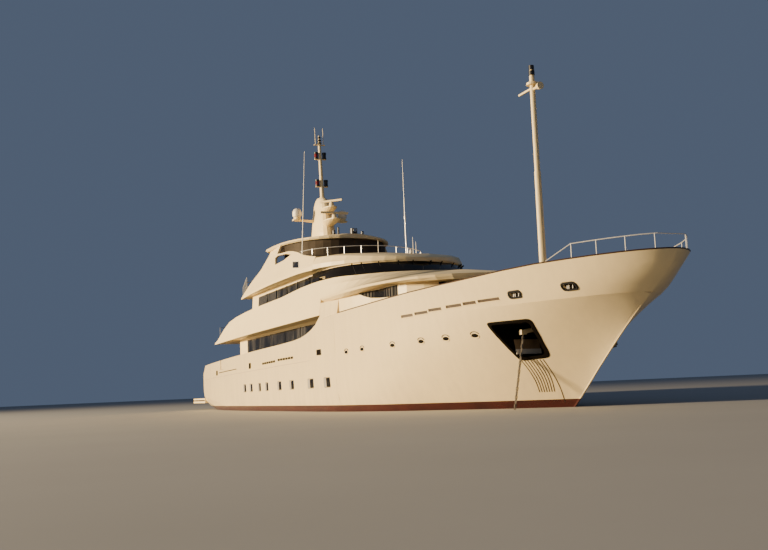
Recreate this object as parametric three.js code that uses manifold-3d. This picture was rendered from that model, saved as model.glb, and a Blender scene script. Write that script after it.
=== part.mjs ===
// Motor yacht of 58 m, built as a 1:2 scale model.
// Lengths in the tables are metres on the full-size ship, and METRE turns them into model millimetres.
// +X points forward, +Y to port, +Z up; the origin is amidships, on the centreline, at the waterline.
import * as THREE from 'three';
import { mergeVertices } from 'three/addons/utils/BufferGeometryUtils.js';
import Module from 'manifold-3d';

const wasm = await Module();
wasm.setup();

// Driving sizes
const SCALE = 1 / 2;
const METRE = 1000 * SCALE;
const GAP = 0.0007; // clearance between pieces that touch, on the full-size ship
const STERN_X = -23.8;
const BOW_X = 29.0;
const DRAFT = 3.2;
const BEAM_HALF = 5.4;
const MAIN_DECK_Z = 2.95;
const FOREDECK_Z = 4.1;
const FOREDECK_START_X = 9.2;
const UPPER_DECK_Z = 5.5;
const SUN_DECK_Z = 8.2;
const DECK_PLATE = 0.34;
const BULWARK_THICK = 0.16;
const PLATFORM_END_X = -29.0;
const PLATFORM_HALF = 4.7;
const MAST_X = -6.4;
const FOREMAST_X = 20.7;
const SHAFT_Y = 2.3;
const FIN = { x: 1.5, y: 4.55, z: -1.95, reach: 1.5, root: 1.7, tip: 1.1, droop: 35, seat: 0.12 };
const PROPELLER = { x: -18.4, z: -2.35, radius: 0.98, hub: 0.24, blades: 5 };
const RUDDER = { x: -20.3, z: -2.35, chord: 1.5, height: 1.75, stock: 0.26 };

// A smooth line through [x, value] rows, flat beyond its ends
function curve(rows) {
  const slopes = rows.map((row, i) => {
    if (i === 0 || i === rows.length - 1) return 0;
    const before = (row[1] - rows[i - 1][1]) / (row[0] - rows[i - 1][0]);
    const after = (rows[i + 1][1] - row[1]) / (rows[i + 1][0] - row[0]);
    return before * after <= 0 ? 0 : (2 * before * after) / (before + after);
  });
  slopes[0] = (rows[1][1] - rows[0][1]) / (rows[1][0] - rows[0][0]);
  const last = rows.length - 1;
  slopes[last] = (rows[last][1] - rows[last - 1][1]) / (rows[last][0] - rows[last - 1][0]);
  return (x) => {
    if (x <= rows[0][0]) return rows[0][1];
    if (x >= rows[last][0]) return rows[last][1];
    let i = 0;
    while (x > rows[i + 1][0]) i += 1;
    const span = rows[i + 1][0] - rows[i][0];
    const t = (x - rows[i][0]) / span;
    const h00 = 2 * t ** 3 - 3 * t ** 2 + 1;
    const h10 = t ** 3 - 2 * t ** 2 + t;
    const h01 = 3 * t ** 2 - 2 * t ** 3;
    const h11 = t ** 3 - t ** 2;
    return h00 * rows[i][1] + h10 * span * slopes[i] + h01 * rows[i + 1][1] + h11 * span * slopes[i + 1];
  };
}

// A straight-sided line through [x, value] rows
function polyline(rows) {
  return (x) => {
    if (x <= rows[0][0]) return rows[0][1];
    for (let i = 1; i < rows.length; i += 1) {
      const [x0, v0] = rows[i - 1];
      const [x1, v1] = rows[i];
      if (x <= x1) return v0 + ((v1 - v0) * (x - x0)) / (x1 - x0);
    }
    return rows[rows.length - 1][1];
  };
}

// Half-breadth of a deck outline with a rounded end at tipX
function roundedEnd(half, startX, tipX, fullness, bluntness) {
  return (x) => {
    const u = Math.min(Math.max((x - startX) / (tipX - startX), 0), 1);
    return half * (1 - u ** fullness) ** bluntness;
  };
}

// Hull form
const keelLine = curve([
  [STERN_X, -0.3], [-19, -1.15], [-13, -2.35], [-6, -DRAFT], [13, -DRAFT], [17, -2.75], [20, -1.7],
  [22.5, 0.1], [23.95, 1.35], [25, 2.22], [25.8, 2.86], [27, 3.75], [28.4, 4.75], [BOW_X, 5.25],
]);
const knuckleZ = curve([
  [STERN_X, 2.58], [5, 2.78], [9, 3.3], [15, 3.84], [19, 3.98], [22.4, 4.05], [27.2, 4.08],
]);
const sternTaper = curve([[STERN_X, 0.885], [-20, 0.93], [-14, 0.975], [-7, 1]]);
const KNUCKLE_TIP = 27.4;
const knucklePlan = roundedEnd(BEAM_HALF, 4, KNUCKLE_TIP, 2.3, 0.62);
const railPlan = roundedEnd(BEAM_HALF, 5, BOW_X, 2.2, 0.55);
const bilgeFullness = curve([
  [STERN_X, 5], [-19, 4.6], [-14, 4.2], [-6, 3.9], [6, 3.9], [12, 2.9], [18, 1.55], [23, 1.1], [27, 1],
]);
const sideFullness = curve([
  [STERN_X, 0.4], [-14, 0.45], [-6, 0.5], [6, 0.5], [12, 0.66], [17, 0.92], [21, 1.05], [23, 1.15],
  [24.1, 1.28], [25.1, 1.3], [26, 1.15], [27, 0.85],
]);
// Below 1 the topsides bulge, which rounds the nose above the knuckle
const flareFullness = curve([[24, 1], [25.5, 0.85], [27.2, 0.6], [BOW_X, 0.5]]);
const bulwarkTop = curve([
  [-22.7, 3.64], [-14, 3.8], [-4, 3.95], [1.5, 4.02], [3.6, 4.1], [5.2, 4.3], [6.4, 4.6], [7.6, 4.86],
  [9.2, 4.97], [12.5, 5.06], [17, 5.21], [21, 5.3], [25, 5.42], [BOW_X, 5.42],
]);

function hullHalf(x, z) {
  const keel = keelLine(x);
  const knuckle = Math.max(knuckleZ(x), keel + 0.02);
  const taper = sternTaper(x);
  const lower = Math.max(knucklePlan(x) * taper, 0.03);
  const upper = Math.max(railPlan(x) * taper, 0.03);
  if (z <= knuckle) {
    const t = Math.min(Math.max((z - keel) / (knuckle - keel), 0), 1);
    return Math.max(lower * (1 - (1 - t) ** bilgeFullness(x)) ** sideFullness(x), 0.03);
  }
  const t = (z - knuckle) / Math.max(bulwarkTop(x) - knuckle, 0.01);
  return lower + (upper - lower) * Math.min(t, 1.2) ** flareFullness(x);
}

// Superstructure outlines
const UPPER_HALF = 5.36;
const upperWingTaper = curve([[-18.6, 0.93], [-12, 0.975], [-6, 1]]);
const upperWingHalf = (x) => UPPER_HALF * upperWingTaper(x);
const upperWingTop = curve([
  [-18.6, 5.24], [-17.6, 5.42], [-15.8, 6.0], [-13.6, 6.5], [-10, 6.74], [-4.9, 6.84], [0.5, 6.89],
  [3.1, 7.02], [5.6, 7.04], [8.3, 6.97], [9.65, 6.9], [11.5, 6.8], [13.4, 6.79], [15.5, 6.5], [17, 6.27],
  [18.1, 6.12],
]);
const BROW = {
  tip: 18.1, crestTip: 13.45, crestHalf: 5.17, floor: 6.25, floorEnd: 12.9, rim: 0.3, ridge: 6.04,
};
const browLip = roundedEnd(UPPER_HALF, 8.2, BROW.tip, 3.6, 0.4);
const browCrest = roundedEnd(BROW.crestHalf, 7.5, BROW.crestTip, 3.2, 0.5);
const browUnder = curve([
  [7.2, 5.8], [9.9, 5.8], [11, 5.85], [12.6, 5.91], [14.5, 5.92], [16, 5.87], [17, 5.81], [BROW.tip, 5.8],
]);
const forwardHouseHalf = curve([
  [9.19, 5], [9.9, 4.93], [11, 4.7], [12, 4.42], [13, 4.27], [14.5, 4.2], [15.2, 3.9], [16, 3.25],
  [16.4, 2.8], [16.9, 1.9], [17.1, 1.2], [17.15, 0.6],
]);
const ROOF = { half: 4.97, tip: 9.1, lip: 8.0, edgeStart: 4.4, stepX: 3.4, plateau: 8.76 };
const roofPlan = roundedEnd(ROOF.half, 1, ROOF.tip, 2.9, 0.63);
const roofTaper = curve([[-12.2, 0.9], [-8, 0.96], [-3, 1]]);
const roofHalf = (x) => roofPlan(x) * roofTaper(x);
const roofUnder = curve([[-12.2, 8.07], [-6, 8.07], [0, 8.04], [4, 7.99], [6, 7.92], [ROOF.tip, 7.9]]);
const roofEdge = curve([
  [ROOF.edgeStart, ROOF.plateau], [5.5, 8.68], [6.3, 8.6], [7.5, 8.4], [8.7, 8.2], [ROOF.tip, 8.08],
]);
const roofCrown = curve([
  [ROOF.edgeStart, 8.85], [5.5, 8.8], [7, 8.65], [8.2, 8.4], [9, 8.15], [ROOF.tip, 8.1],
]);
const HARDTOP = { tip: -0.55, under: 10.8, edge: 10.98, top: 11.08 };
const hardtopHalf = roundedEnd(4.0, -7.2, HARDTOP.tip, 3, 0.5);

const palette = {
  paint: { color: 0xe8dcc2, roughness: 0.3, metalness: 0 },
  bottom: { color: 0x4a1512, roughness: 0.6, metalness: 0 },
  glass: { color: 0x1c2126, roughness: 0.1, metalness: 0 },
  steel: { color: 0xc9ccd0, roughness: 0.25, metalness: 1 },
  bronze: { color: 0xa57a3c, roughness: 0.35, metalness: 1 },
  dark: { color: 0x15161a, roughness: 0.5, metalness: 0 },
  dome: { color: 0xf0ede6, roughness: 0.35, metalness: 0 },
  galvanised: { color: 0x6f6a62, roughness: 0.6, metalness: 0.8 },
};
const materials = Object.fromEntries(
  Object.entries(palette).map(([name, look]) => [name, new THREE.MeshStandardMaterial(look)]),
);

const yacht = new THREE.Group();
yacht.name = 'motor_yacht';

// A closed mesh from points in ship metres, with its faces turned outwards
function closedGeometry(points, triangles) {
  const scaled = points.map((p) => p.map((value) => value * METRE));
  let volume = 0;
  for (const [a, b, c] of triangles) {
    const [pa, pb, pc] = [scaled[a], scaled[b], scaled[c]];
    volume += pa[0] * (pb[1] * pc[2] - pb[2] * pc[1]);
    volume += pa[1] * (pb[2] * pc[0] - pb[0] * pc[2]);
    volume += pa[2] * (pb[0] * pc[1] - pb[1] * pc[0]);
  }
  const index = triangles.flatMap(([a, b, c]) => (volume < 0 ? [a, c, b] : [a, b, c]));
  const geometry = new THREE.BufferGeometry();
  geometry.setAttribute('position', new THREE.Float32BufferAttribute(scaled.flat(), 3));
  geometry.setIndex(index);
  return geometry;
}

// A body that is the same to port and starboard; each station is a list of [x, half, z] from bottom to top
function symmetricLoft(stations) {
  const levels = stations[0].length;
  const points = [];
  for (const station of stations) {
    for (const [x, half, z] of station) points.push([x, half, z], [x, -half, z]);
  }
  const port = (i, j) => 2 * (i * levels + j);
  const starboard = (i, j) => port(i, j) + 1;
  const triangles = [];
  const quad = (a, b, c, d) => triangles.push([a, b, c], [a, c, d]);
  for (let i = 0; i < stations.length - 1; i += 1) {
    for (let j = 0; j < levels - 1; j += 1) {
      quad(port(i, j), port(i, j + 1), port(i + 1, j + 1), port(i + 1, j));
      quad(starboard(i, j), starboard(i + 1, j), starboard(i + 1, j + 1), starboard(i, j + 1));
    }
    const top = levels - 1;
    quad(port(i, top), starboard(i, top), starboard(i + 1, top), port(i + 1, top));
    quad(port(i, 0), port(i + 1, 0), starboard(i + 1, 0), starboard(i, 0));
  }
  const end = stations.length - 1;
  for (let j = 0; j < levels - 1; j += 1) {
    quad(port(0, j), starboard(0, j), starboard(0, j + 1), port(0, j + 1));
    quad(port(end, j), port(end, j + 1), starboard(end, j + 1), starboard(end, j));
  }
  return closedGeometry(points, triangles);
}

// A body through rings of points; each ring is a closed outline, convex enough for a fan
function ringLoft(rings, loop = false) {
  const count = rings[0].length;
  const points = rings.flat();
  const triangles = [];
  const last = loop ? rings.length : rings.length - 1;
  for (let i = 0; i < last; i += 1) {
    const here = i * count;
    const next = ((i + 1) % rings.length) * count;
    for (let j = 0; j < count; j += 1) {
      const k = (j + 1) % count;
      triangles.push([here + j, here + k, next + k], [here + j, next + k, next + j]);
    }
  }
  if (!loop) {
    const end = (rings.length - 1) * count;
    for (let j = 1; j < count - 1; j += 1) {
      triangles.push([0, j + 1, j], [end, end + j, end + j + 1]);
    }
  }
  return closedGeometry(points, triangles);
}

// A wall that stands on a plan line of [x, y, normal x, normal y] points
function wallRings(line, thick, bottom, top) {
  return line.map(([x, y, nx, ny]) => {
    const low = bottom(x);
    const high = top(x);
    const inner = [x - nx * thick, y - ny * thick];
    return [[x, y, low], [x, y, high], [inner[0], inner[1], high], [inner[0], inner[1], low]];
  });
}

// Points of a plan line with their outward normals, from [x, y] points
function withNormals(line) {
  return line.map(([x, y], i) => {
    const a = line[Math.max(i - 1, 0)];
    const b = line[Math.min(i + 1, line.length - 1)];
    const length = Math.hypot(b[0] - a[0], b[1] - a[1]);
    return [x, y, (b[1] - a[1]) / length, -(b[0] - a[0]) / length];
  });
}

// Both sides of a symmetric plan line, starboard first, right round its forward end
function roundTheBow(stations, half) {
  const starboard = stations.map((x) => [x, -half(x)]);
  const port = stations.map((x) => [x, half(x)]).reverse();
  return withNormals([...starboard, ...port.slice(half(stations[stations.length - 1]) < 0.02 ? 1 : 0)]);
}

function spread(from, to, count) {
  return Array.from({ length: count + 1 }, (_, i) => from + ((to - from) * i) / count);
}

// Stations that crowd together towards a rounded end
function towardsTip(from, tip, count) {
  return Array.from({ length: count }, (_, i) => tip - (tip - from) * (1 - (i + 1) / count) ** 2);
}

function block(x0, x1, y0, y1, z0, z1) {
  const geometry = new THREE.BoxGeometry((x1 - x0) * METRE, (y1 - y0) * METRE, (z1 - z0) * METRE);
  geometry.translate(((x0 + x1) / 2) * METRE, ((y0 + y1) / 2) * METRE, ((z0 + z1) / 2) * METRE);
  return geometry;
}

// A cylinder or cone along an axis from a point, in ship metres
function rod(from, to, radius, endRadius = radius, sides = 12) {
  const a = new THREE.Vector3(...from).multiplyScalar(METRE);
  const b = new THREE.Vector3(...to).multiplyScalar(METRE);
  const along = b.clone().sub(a);
  const geometry = new THREE.CylinderGeometry(endRadius * METRE, radius * METRE, along.length(), sides);
  const upright = new THREE.Vector3(0, 1, 0);
  geometry.applyQuaternion(new THREE.Quaternion().setFromUnitVectors(upright, along.clone().normalize()));
  const middle = a.add(b).multiplyScalar(0.5);
  geometry.translate(middle.x, middle.y, middle.z);
  return geometry;
}

// A flat plate: an outline of [x, y] points, thickened along z, or of [x, z] points, thickened along -y
function plate(outline, from, to, plane = 'XY') {
  const shape = new THREE.Shape(outline.map(([a, b]) => new THREE.Vector2(a * METRE, b * METRE)));
  const geometry = new THREE.ExtrudeGeometry(shape, { depth: (to - from) * METRE, bevelEnabled: false });
  geometry.translate(0, 0, from * METRE);
  if (plane === 'XZ') geometry.rotateX(Math.PI / 2);
  return geometry;
}

function toSolid(geometry) {
  let bare = geometry.clone();
  bare.deleteAttribute('normal');
  bare.deleteAttribute('uv');
  bare = mergeVertices(bare, 1e-3);
  return new wasm.Manifold(new wasm.Mesh({
    numProp: 3,
    vertProperties: new Float32Array(bare.attributes.position.array),
    triVerts: new Uint32Array(bare.index.array),
  }));
}

function fromSolid(solid) {
  const mesh = solid.getMesh();
  const geometry = new THREE.BufferGeometry();
  geometry.setAttribute('position', new THREE.Float32BufferAttribute(mesh.vertProperties, 3));
  geometry.setIndex(Array.from(mesh.triVerts));
  return geometry;
}

function join(...geometries) {
  return fromSolid(geometries.map(toSolid).reduce((a, b) => a.add(b)));
}

function cut(geometry, ...tools) {
  return fromSolid(tools.map(toSolid).reduce((a, b) => a.subtract(b), toSolid(geometry)));
}

// Takes another piece's room out of a geometry, with clearance beneath it or above it
function cutBelow(geometry, other) {
  return cut(geometry, other.clone().translate(0, 0, -GAP * METRE));
}

function cutAbove(geometry, other) {
  return cut(geometry, other.clone().translate(0, 0, GAP * METRE));
}

function ordered(a, b) {
  return a < b ? [a, b] : [b, a];
}

function addPiece(name, geometry, material, place) {
  const mesh = new THREE.Mesh(geometry, materials[material]);
  mesh.name = name;
  if (place) mesh.position.set(...place.map((value) => value * METRE));
  yacht.add(mesh);
  return mesh;
}

// The same piece to starboard and to port; make(side) has side -1 or 1
function addPair(name, make, material) {
  for (const [word, side] of [['starboard', -1], ['port', 1]]) {
    addPiece(`${name}_${word}`, make(side), material);
  }
}

// Hull
const hullStations = [
  ...spread(STERN_X, -6, 9), ...spread(-4, 7.2, 4), 8.2, FOREDECK_START_X - 0.002, FOREDECK_START_X,
  ...spread(10.4, 22.4, 10), ...spread(23.3, 26.6, 4), 27, 27.2, 27.32, KNUCKLE_TIP - 0.02,
];
const deckEdgeZ = (x) => (x < FOREDECK_START_X ? MAIN_DECK_Z : FOREDECK_Z);
const HULL_SHARES = [0, 0.02, 0.06, 0.13, 0.23, 0.36, 0.5, 0.64, 0.78, 0.9, 1];

function hullStation(x) {
  const keel = keelLine(x);
  const deck = deckEdgeZ(x);
  const knuckle = Math.min(Math.max(knuckleZ(x), keel + 0.05), deck - 0.03);
  const levels = HULL_SHARES.map((share) => keel + (knuckle - keel) * share);
  return [...levels, deck].map((z) => [x, hullHalf(x, z), z]);
}

const STAIR = { inner: 3.0, outer: 4.0, steps: 8, rise: 0.25, tread: 0.3, topX: -21.4 };

function stairCuts(side) {
  const [low, high] = side < 0 ? [-STAIR.outer, -STAIR.inner] : [STAIR.inner, STAIR.outer];
  return Array.from({ length: STAIR.steps }, (_, i) => {
    const edge = STAIR.topX - i * STAIR.tread;
    return block(STERN_X - 1, edge, low, high, MAIN_DECK_Z - (i + 1) * STAIR.rise, MAIN_DECK_Z + 0.5);
  });
}

const GARAGE = { half: 2.4, bottom: 1.15, top: 2.65, depth: 3.2, panel: 0.12 };
const THRUSTER = { x: 18.6, z: -1.45, radius: 0.45 };
const POCKET_TOP = 3.47;
const POCKET = {
  outline: [[21.31, POCKET_TOP], [23.16, POCKET_TOP], [22.78, 2.06], [21.69, 1.99]], inner: 0.95, outer: 4.6,
};
const HAWSE = { x: 21.92, y: -1.97, low: 2.98, radius: 0.095 };

// A round bar along the bow thruster's axis, reach to each side
function thrusterBore(reach, radius) {
  return rod([THRUSTER.x, -reach, THRUSTER.z], [THRUSTER.x, reach, THRUSTER.z], radius, radius, 20);
}

// The pipe in the starboard pocket that the chain comes out of, with the square lip at its end
function hawsePipe() {
  const { x, y, low, radius } = HAWSE;
  return [
    rod([x + 0.05, -POCKET.inner + 0.05, low + 0.35], [x, y, low + radius], radius, radius, 14),
    block(x - radius, x + radius, y - 0.12, y + 0.12, low, low + 2 * radius),
  ];
}

// A point along a stabiliser's axis, which slants down and outwards from the bilge
function alongFin(side, reach) {
  const a = (FIN.droop * Math.PI) / 180;
  return [FIN.x, side * (FIN.y + reach * Math.cos(a)), FIN.z - reach * Math.sin(a)];
}

// Seats of a rudder stock and of a stabiliser fin, one with the hull
function seats(side) {
  const stockTop = RUDDER.z + RUDDER.height / 2 + RUDDER.stock;
  const place = [RUDDER.x, side * SHAFT_Y];
  return [
    rod([...place, stockTop + GAP], [...place, -0.3], 0.2, 0.26, 16),
    rod(alongFin(side, FIN.seat - GAP), alongFin(side, -0.8), 0.22, 0.26, 16),
  ];
}

function hullGeometry() {
  const shell = symmetricLoft(hullStations.map(hullStation));
  const pockets = [
    plate(POCKET.outline, POCKET.inner, POCKET.outer, 'XZ'),
    plate(POCKET.outline, -POCKET.outer, -POCKET.inner, 'XZ'),
  ];
  const garage = block(
    STERN_X - 1, STERN_X + GARAGE.depth, -GARAGE.half, GARAGE.half, GARAGE.bottom, GARAGE.top,
  );
  const tunnel = thrusterBore(4, THRUSTER.radius);
  const seated = join(shell, ...seats(-1), ...seats(1));
  return join(cut(seated, ...stairCuts(-1), ...stairCuts(1), garage, tunnel, ...pockets), ...hawsePipe());
}

addPiece('hull', hullGeometry(), 'paint');

// Bulwark of the bow: from the raised foredeck's step right round the stem, filled solid at the nose
const NOSE = 0.9;
const stemX = (z) => {
  let low = 20;
  let high = BOW_X;
  for (let i = 0; i < 30; i += 1) {
    const middle = (low + high) / 2;
    if (keelLine(middle) < z) low = middle;
    else high = middle;
  }
  return low;
};

function bowLevel(start, share, zAt, thick, side) {
  const tip = stemX(Math.min(zAt(BOW_X), keelLine(BOW_X)));
  const x = start + (tip - start) * share;
  const z = zAt(x);
  const half = hullHalf(x, z);
  const ahead = hullHalf(x + 0.05, z);
  const slope = (half - ahead) / 0.05;
  const ny = 1 / Math.hypot(1, slope);
  const outer = [x, side * half, z];
  const noseX = tip - NOSE;
  const inX = x - thick * slope * ny;
  if (inX < noseX) return [outer, [inX, side * (half - thick * ny), z]];
  const left = (tip - x) / NOSE;
  const inHalf = (hullHalf(noseX, zAt(noseX)) - thick) * Math.min(left, 1) ** 0.5;
  return [outer, [noseX, side * Math.max(inHalf, 0.004), z]];
}

function bowRings(start, thick, levels, shares) {
  const rings = [];
  for (const side of [-1, 1]) {
    const run = shares.map((share) => {
      const pairs = levels.map((zAt) => bowLevel(start, share, zAt, thick, side));
      return [...pairs.map((pair) => pair[0]), ...pairs.map((pair) => pair[1]).reverse()];
    });
    rings.push(...(side < 0 ? run : run.reverse()));
  }
  return rings;
}

const bowShares = [0, 0.035, ...spread(0.1, 0.6, 5), 0.7, 0.78, 0.85, 0.9, 0.94, 0.965, 0.985, 0.996, 1];
const bowLevels = [0, 0.2, 0.45, 0.7, 1].map((share) => (x) => (
  FOREDECK_Z + GAP + (bulwarkTop(x) - FOREDECK_Z - GAP) * share
));
// Freeing slots and mooring fairleads, as [from x, to x, low z, high z] on each side of the bow
const FREEING_SLOTS = [
  [16.13, 17.04, 4.18, 4.3], [17.18, 18.13, 4.21, 4.33], [18.21, 19.08, 4.26, 4.38],
  [19.39, 20.35, 4.29, 4.41], [20.45, 21.18, 4.31, 4.43], [21.3, 22.44, 4.33, 4.44],
];
const FAIRLEADS = [[22.98, 23.46, 4.38, 4.53], [25.33, 25.78, 4.42, 4.58]];

function bowBulwarkGeometry() {
  const wall = ringLoft(bowRings(FOREDECK_START_X, BULWARK_THICK, bowLevels, bowShares));
  const holes = [];
  for (const [a, b, low, high] of [...FREEING_SLOTS, ...FAIRLEADS]) {
    holes.push(block(a, b, 1.1, 6, low, high), block(a, b, -6, -1.1, low, high));
  }
  return cut(wall, block(8, FOREDECK_START_X, -6, 6, 3, 7), ...holes);
}

const GATE = { aft: -16, fore: -15.2, bottom: MAIN_DECK_Z + 0.12, inset: 0.04, thick: 0.05, room: 0.026 };

// Bulwark along the side decks and the quarters, which sweeps up into the side plating
const QUARTER_LEAN = { from: -21.7, shift: 1.05 };
const SIDE_JOINT_X = 7.2;
const PLATING_X = SIDE_JOINT_X + 0.004;
const platingStations = [PLATING_X, 7.9, 8.6, FOREDECK_START_X - 0.0041];
const sideTop = (x) => (
  x < PLATING_X ? bulwarkTop(x) + Math.max(0, x - 6.2) ** 2 * 0.25 : browUnder(x) - 0.03
);
// How far the plating comes inboard above the bulwark's line: at its shoulder, and more at the brow
const platingLedge = curve([[SIDE_JOINT_X, 0], [8, 0.04], [FOREDECK_START_X, 0.2]]);
const platingLean = curve([[SIDE_JOINT_X, 0.08], [FOREDECK_START_X, 0.13]]);

function sideBulwark(side) {
  const stations = [
    ...spread(STERN_X, -21.8, 2), -20, -16, -12, -8, -4, 0, 2.5, 4, 5, 5.8, 6.5, SIDE_JOINT_X,
    ...platingStations,
  ];
  const rings = stations.map((x) => {
    const rake = (QUARTER_LEAN.shift * Math.max(0, QUARTER_LEAN.from - x)) / (QUARTER_LEAN.from - STERN_X);
    const low = MAIN_DECK_Z + GAP;
    const high = sideTop(x);
    const at = (z, inset) => {
      const shifted = x + (rake * (z - low)) / (high - low);
      return [shifted, side * (hullHalf(shifted, Math.min(z, bulwarkTop(x))) - inset), z];
    };
    const plating = x >= PLATING_X;
    const ledge = plating ? platingLedge(x) : 0;
    const lean = plating ? platingLean(x) + ledge : 0;
    const middle = plating ? bulwarkTop(x) : (low + high) / 2;
    return [
      at(low, 0), at(middle, 0), at(middle + 0.07, ledge), at(high, lean), at(high, lean + BULWARK_THICK),
      at(low, BULWARK_THICK),
    ];
  });
  const gateway = block(
    GATE.aft - GATE.room, GATE.fore + GATE.room, ...ordered(side * 4.6, side * 5.8),
    GATE.bottom - GATE.room, 5,
  );
  return cut(ringLoft(rings), gateway);
}

addPair('bulwark_side', sideBulwark, 'paint');

// A leaf with a pin under its hinge edge, which stands on the sill
function pinnedLeaf(leaf, pin, low, high) {
  return join(leaf, rod([...pin, low + GAP], [...pin, high], 0.018, 0.018, 10));
}

// Boarding gates, upright leaves that swing inwards
function boardingGate(side) {
  const face = (x) => hullHalf(x, GATE.bottom) - GATE.inset;
  const rings = [GATE.aft, GATE.fore].map((x) => [
    [x, side * face(x), GATE.bottom], [x, side * face(x), bulwarkTop(x)],
    [x, side * (face(x) - GATE.thick), bulwarkTop(x)],
    [x, side * (face(x) - GATE.thick), GATE.bottom],
  ]);
  const pinX = GATE.aft + 0.025;
  const pinY = side * (face(pinX) - GATE.thick / 2);
  return pinnedLeaf(ringLoft(rings), [pinX, pinY], GATE.bottom - GATE.room, GATE.bottom + 0.2);
}

addPair('boarding_gate', boardingGate, 'paint');

// Bulwark across the stern, between the two flights of steps
const TRANSOM_WALL = { half: 2.95, lean: 0.9, top: 3.64 };
addPiece('bulwark_transom', ringLoft([-TRANSOM_WALL.half, 0, TRANSOM_WALL.half].map((y) => {
  const low = MAIN_DECK_Z + GAP;
  const x = STERN_X + 0.02;
  return [
    [x, y, low], [x + TRANSOM_WALL.lean, y, TRANSOM_WALL.top],
    [x + TRANSOM_WALL.lean + 0.2, y, TRANSOM_WALL.top], [x + TRANSOM_WALL.lean + 0.2, y, low],
  ];
})), 'paint');

// Dark cap along the bow bulwark's top
const CAP = { width: 0.2, height: 0.05 };
addPiece('bulwark_bow', bowBulwarkGeometry(), 'paint');
addPiece('cap_rail', ringLoft(bowRings(
  FOREDECK_START_X, CAP.width, [(x) => bulwarkTop(x) + 2 * GAP, (x) => bulwarkTop(x) + CAP.height],
  bowShares.slice(1),
)), 'dark');

// Swim platform and the garage door above it
function platformGeometry() {
  const corner = 0.7;
  const outline = [
    [STERN_X - GAP, -PLATFORM_HALF], [PLATFORM_END_X + corner, -PLATFORM_HALF],
    [PLATFORM_END_X + 0.2, -PLATFORM_HALF + 0.25], [PLATFORM_END_X, -PLATFORM_HALF + corner],
    [PLATFORM_END_X, PLATFORM_HALF - corner], [PLATFORM_END_X + 0.2, PLATFORM_HALF - 0.25],
    [PLATFORM_END_X + corner, PLATFORM_HALF], [STERN_X - GAP, PLATFORM_HALF],
  ];
  return plate(outline, 0.56, 0.95);
}

addPiece('swim_platform', platformGeometry(), 'paint');
const DOOR_ROOM = 0.014;
const GARAGE_HINGE = { x: STERN_X + 0.035, z: GARAGE.top - 0.05, radius: 0.02 };
addPiece('garage_door', join(
  block(
    STERN_X + 0.01, STERN_X + 0.01 + GARAGE.panel, -GARAGE.half + DOOR_ROOM, GARAGE.half - DOOR_ROOM,
    GARAGE.bottom + 2 * DOOR_ROOM, GARAGE_HINGE.z + 0.025,
  ),
  rod(
    [GARAGE_HINGE.x, -GARAGE.half + GAP, GARAGE_HINGE.z],
    [GARAGE_HINGE.x, GARAGE.half - GAP, GARAGE_HINGE.z],
    GARAGE_HINGE.radius, GARAGE_HINGE.radius, 12,
  ),
), 'paint');

// Main deckhouse, with the saloon entrance cut into its aft end
const MAIN_HOUSE = { aft: -13.8, fore: 7.2, half: 4.3, foreHalf: 4.25, corner: 0.35 };
const ENTRANCE = { half: 1.15, height: 1.95, depth: 1.4, leaf: 0.06 };

// The head rail that a house's sliding leaves hang from
function doorRail(aft, deck) {
  const low = deck + ENTRANCE.height + 0.05 + GAP;
  return block(aft - 0.12, aft + 0.06, -ENTRANCE.half - 1.15, ENTRANCE.half + 1.15, low, low + 0.1);
}

function entranceCut(aft, deck) {
  const { half, height, depth } = ENTRANCE;
  return block(aft - 0.5, aft + depth, -half, half, deck + 0.03, deck + height);
}

function mainHouseGeometry() {
  const low = MAIN_DECK_Z + GAP;
  const high = UPPER_DECK_Z - DECK_PLATE - GAP;
  const { aft, fore, half: aftHalf, foreHalf, corner } = MAIN_HOUSE;
  const stations = [
    [aft, aftHalf - corner], [aft + corner, aftHalf], [fore, foreHalf],
  ].map(([x, half]) => [low, (low + high) / 2, high].map((z) => [x, half, z]));
  const opened = cut(symmetricLoft(stations), entranceCut(aft, MAIN_DECK_Z));
  return join(opened, doorRail(aft, MAIN_DECK_Z));
}

addPiece('main_deckhouse', mainHouseGeometry(), 'paint');

// A pair of sliding glass leaves on the aft face of a house
function slidingLeaf(aft, deck, side) {
  const [a, b] = side < 0 ? [-ENTRANCE.half - 0.05, -0.006] : [0.006, ENTRANCE.half + 0.05];
  return block(aft - 0.02 - ENTRANCE.leaf, aft - 0.02, a, b, deck + 0.02, deck + ENTRANCE.height + 0.05);
}

addPair('saloon_door', (side) => slidingLeaf(MAIN_HOUSE.aft, MAIN_DECK_Z, side), 'glass');

// Forward house on the raised deck, inside the plating at its aft end
function forwardHouseGeometry() {
  const stepX = FOREDECK_START_X - 0.0028;
  const behind = [PLATING_X, 7.9, 8.6, stepX - 0.0005];
  const ahead = [stepX, 9.9, 10.6, 11.3, 12, 13, 14.4, 15.2, 15.9, 16.4, 16.75, 17, 17.12];
  const platingRoom = (x) => BULWARK_THICK + platingLedge(x) + platingLean(x) + 0.03;
  return symmetricLoft([...behind, ...ahead].map((x) => {
    const low = (x < stepX ? MAIN_DECK_Z : FOREDECK_Z) + GAP;
    const half = x < stepX ? hullHalf(x, MAIN_DECK_Z) - platingRoom(x) : forwardHouseHalf(x);
    return [[x, half, low], [x, half, browUnder(x) + 0.1]];
  }));
}

// Upper deck with its side bulwarks
const wingBottom = UPPER_DECK_Z - DECK_PLATE - 0.03;
const WING_THICK = 0.16;
const WING_LEAN = 0.1;

const upperStations = [
  -18.6, -17.6, -16.6, -15.4, -13.6, -11.5, -9, -6, -3, 0, 2, 3.6, 4.8, 5.8, 6.6, SIDE_JOINT_X,
];
const wingInset = (z) => WING_LEAN * (z - wingBottom);

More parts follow.
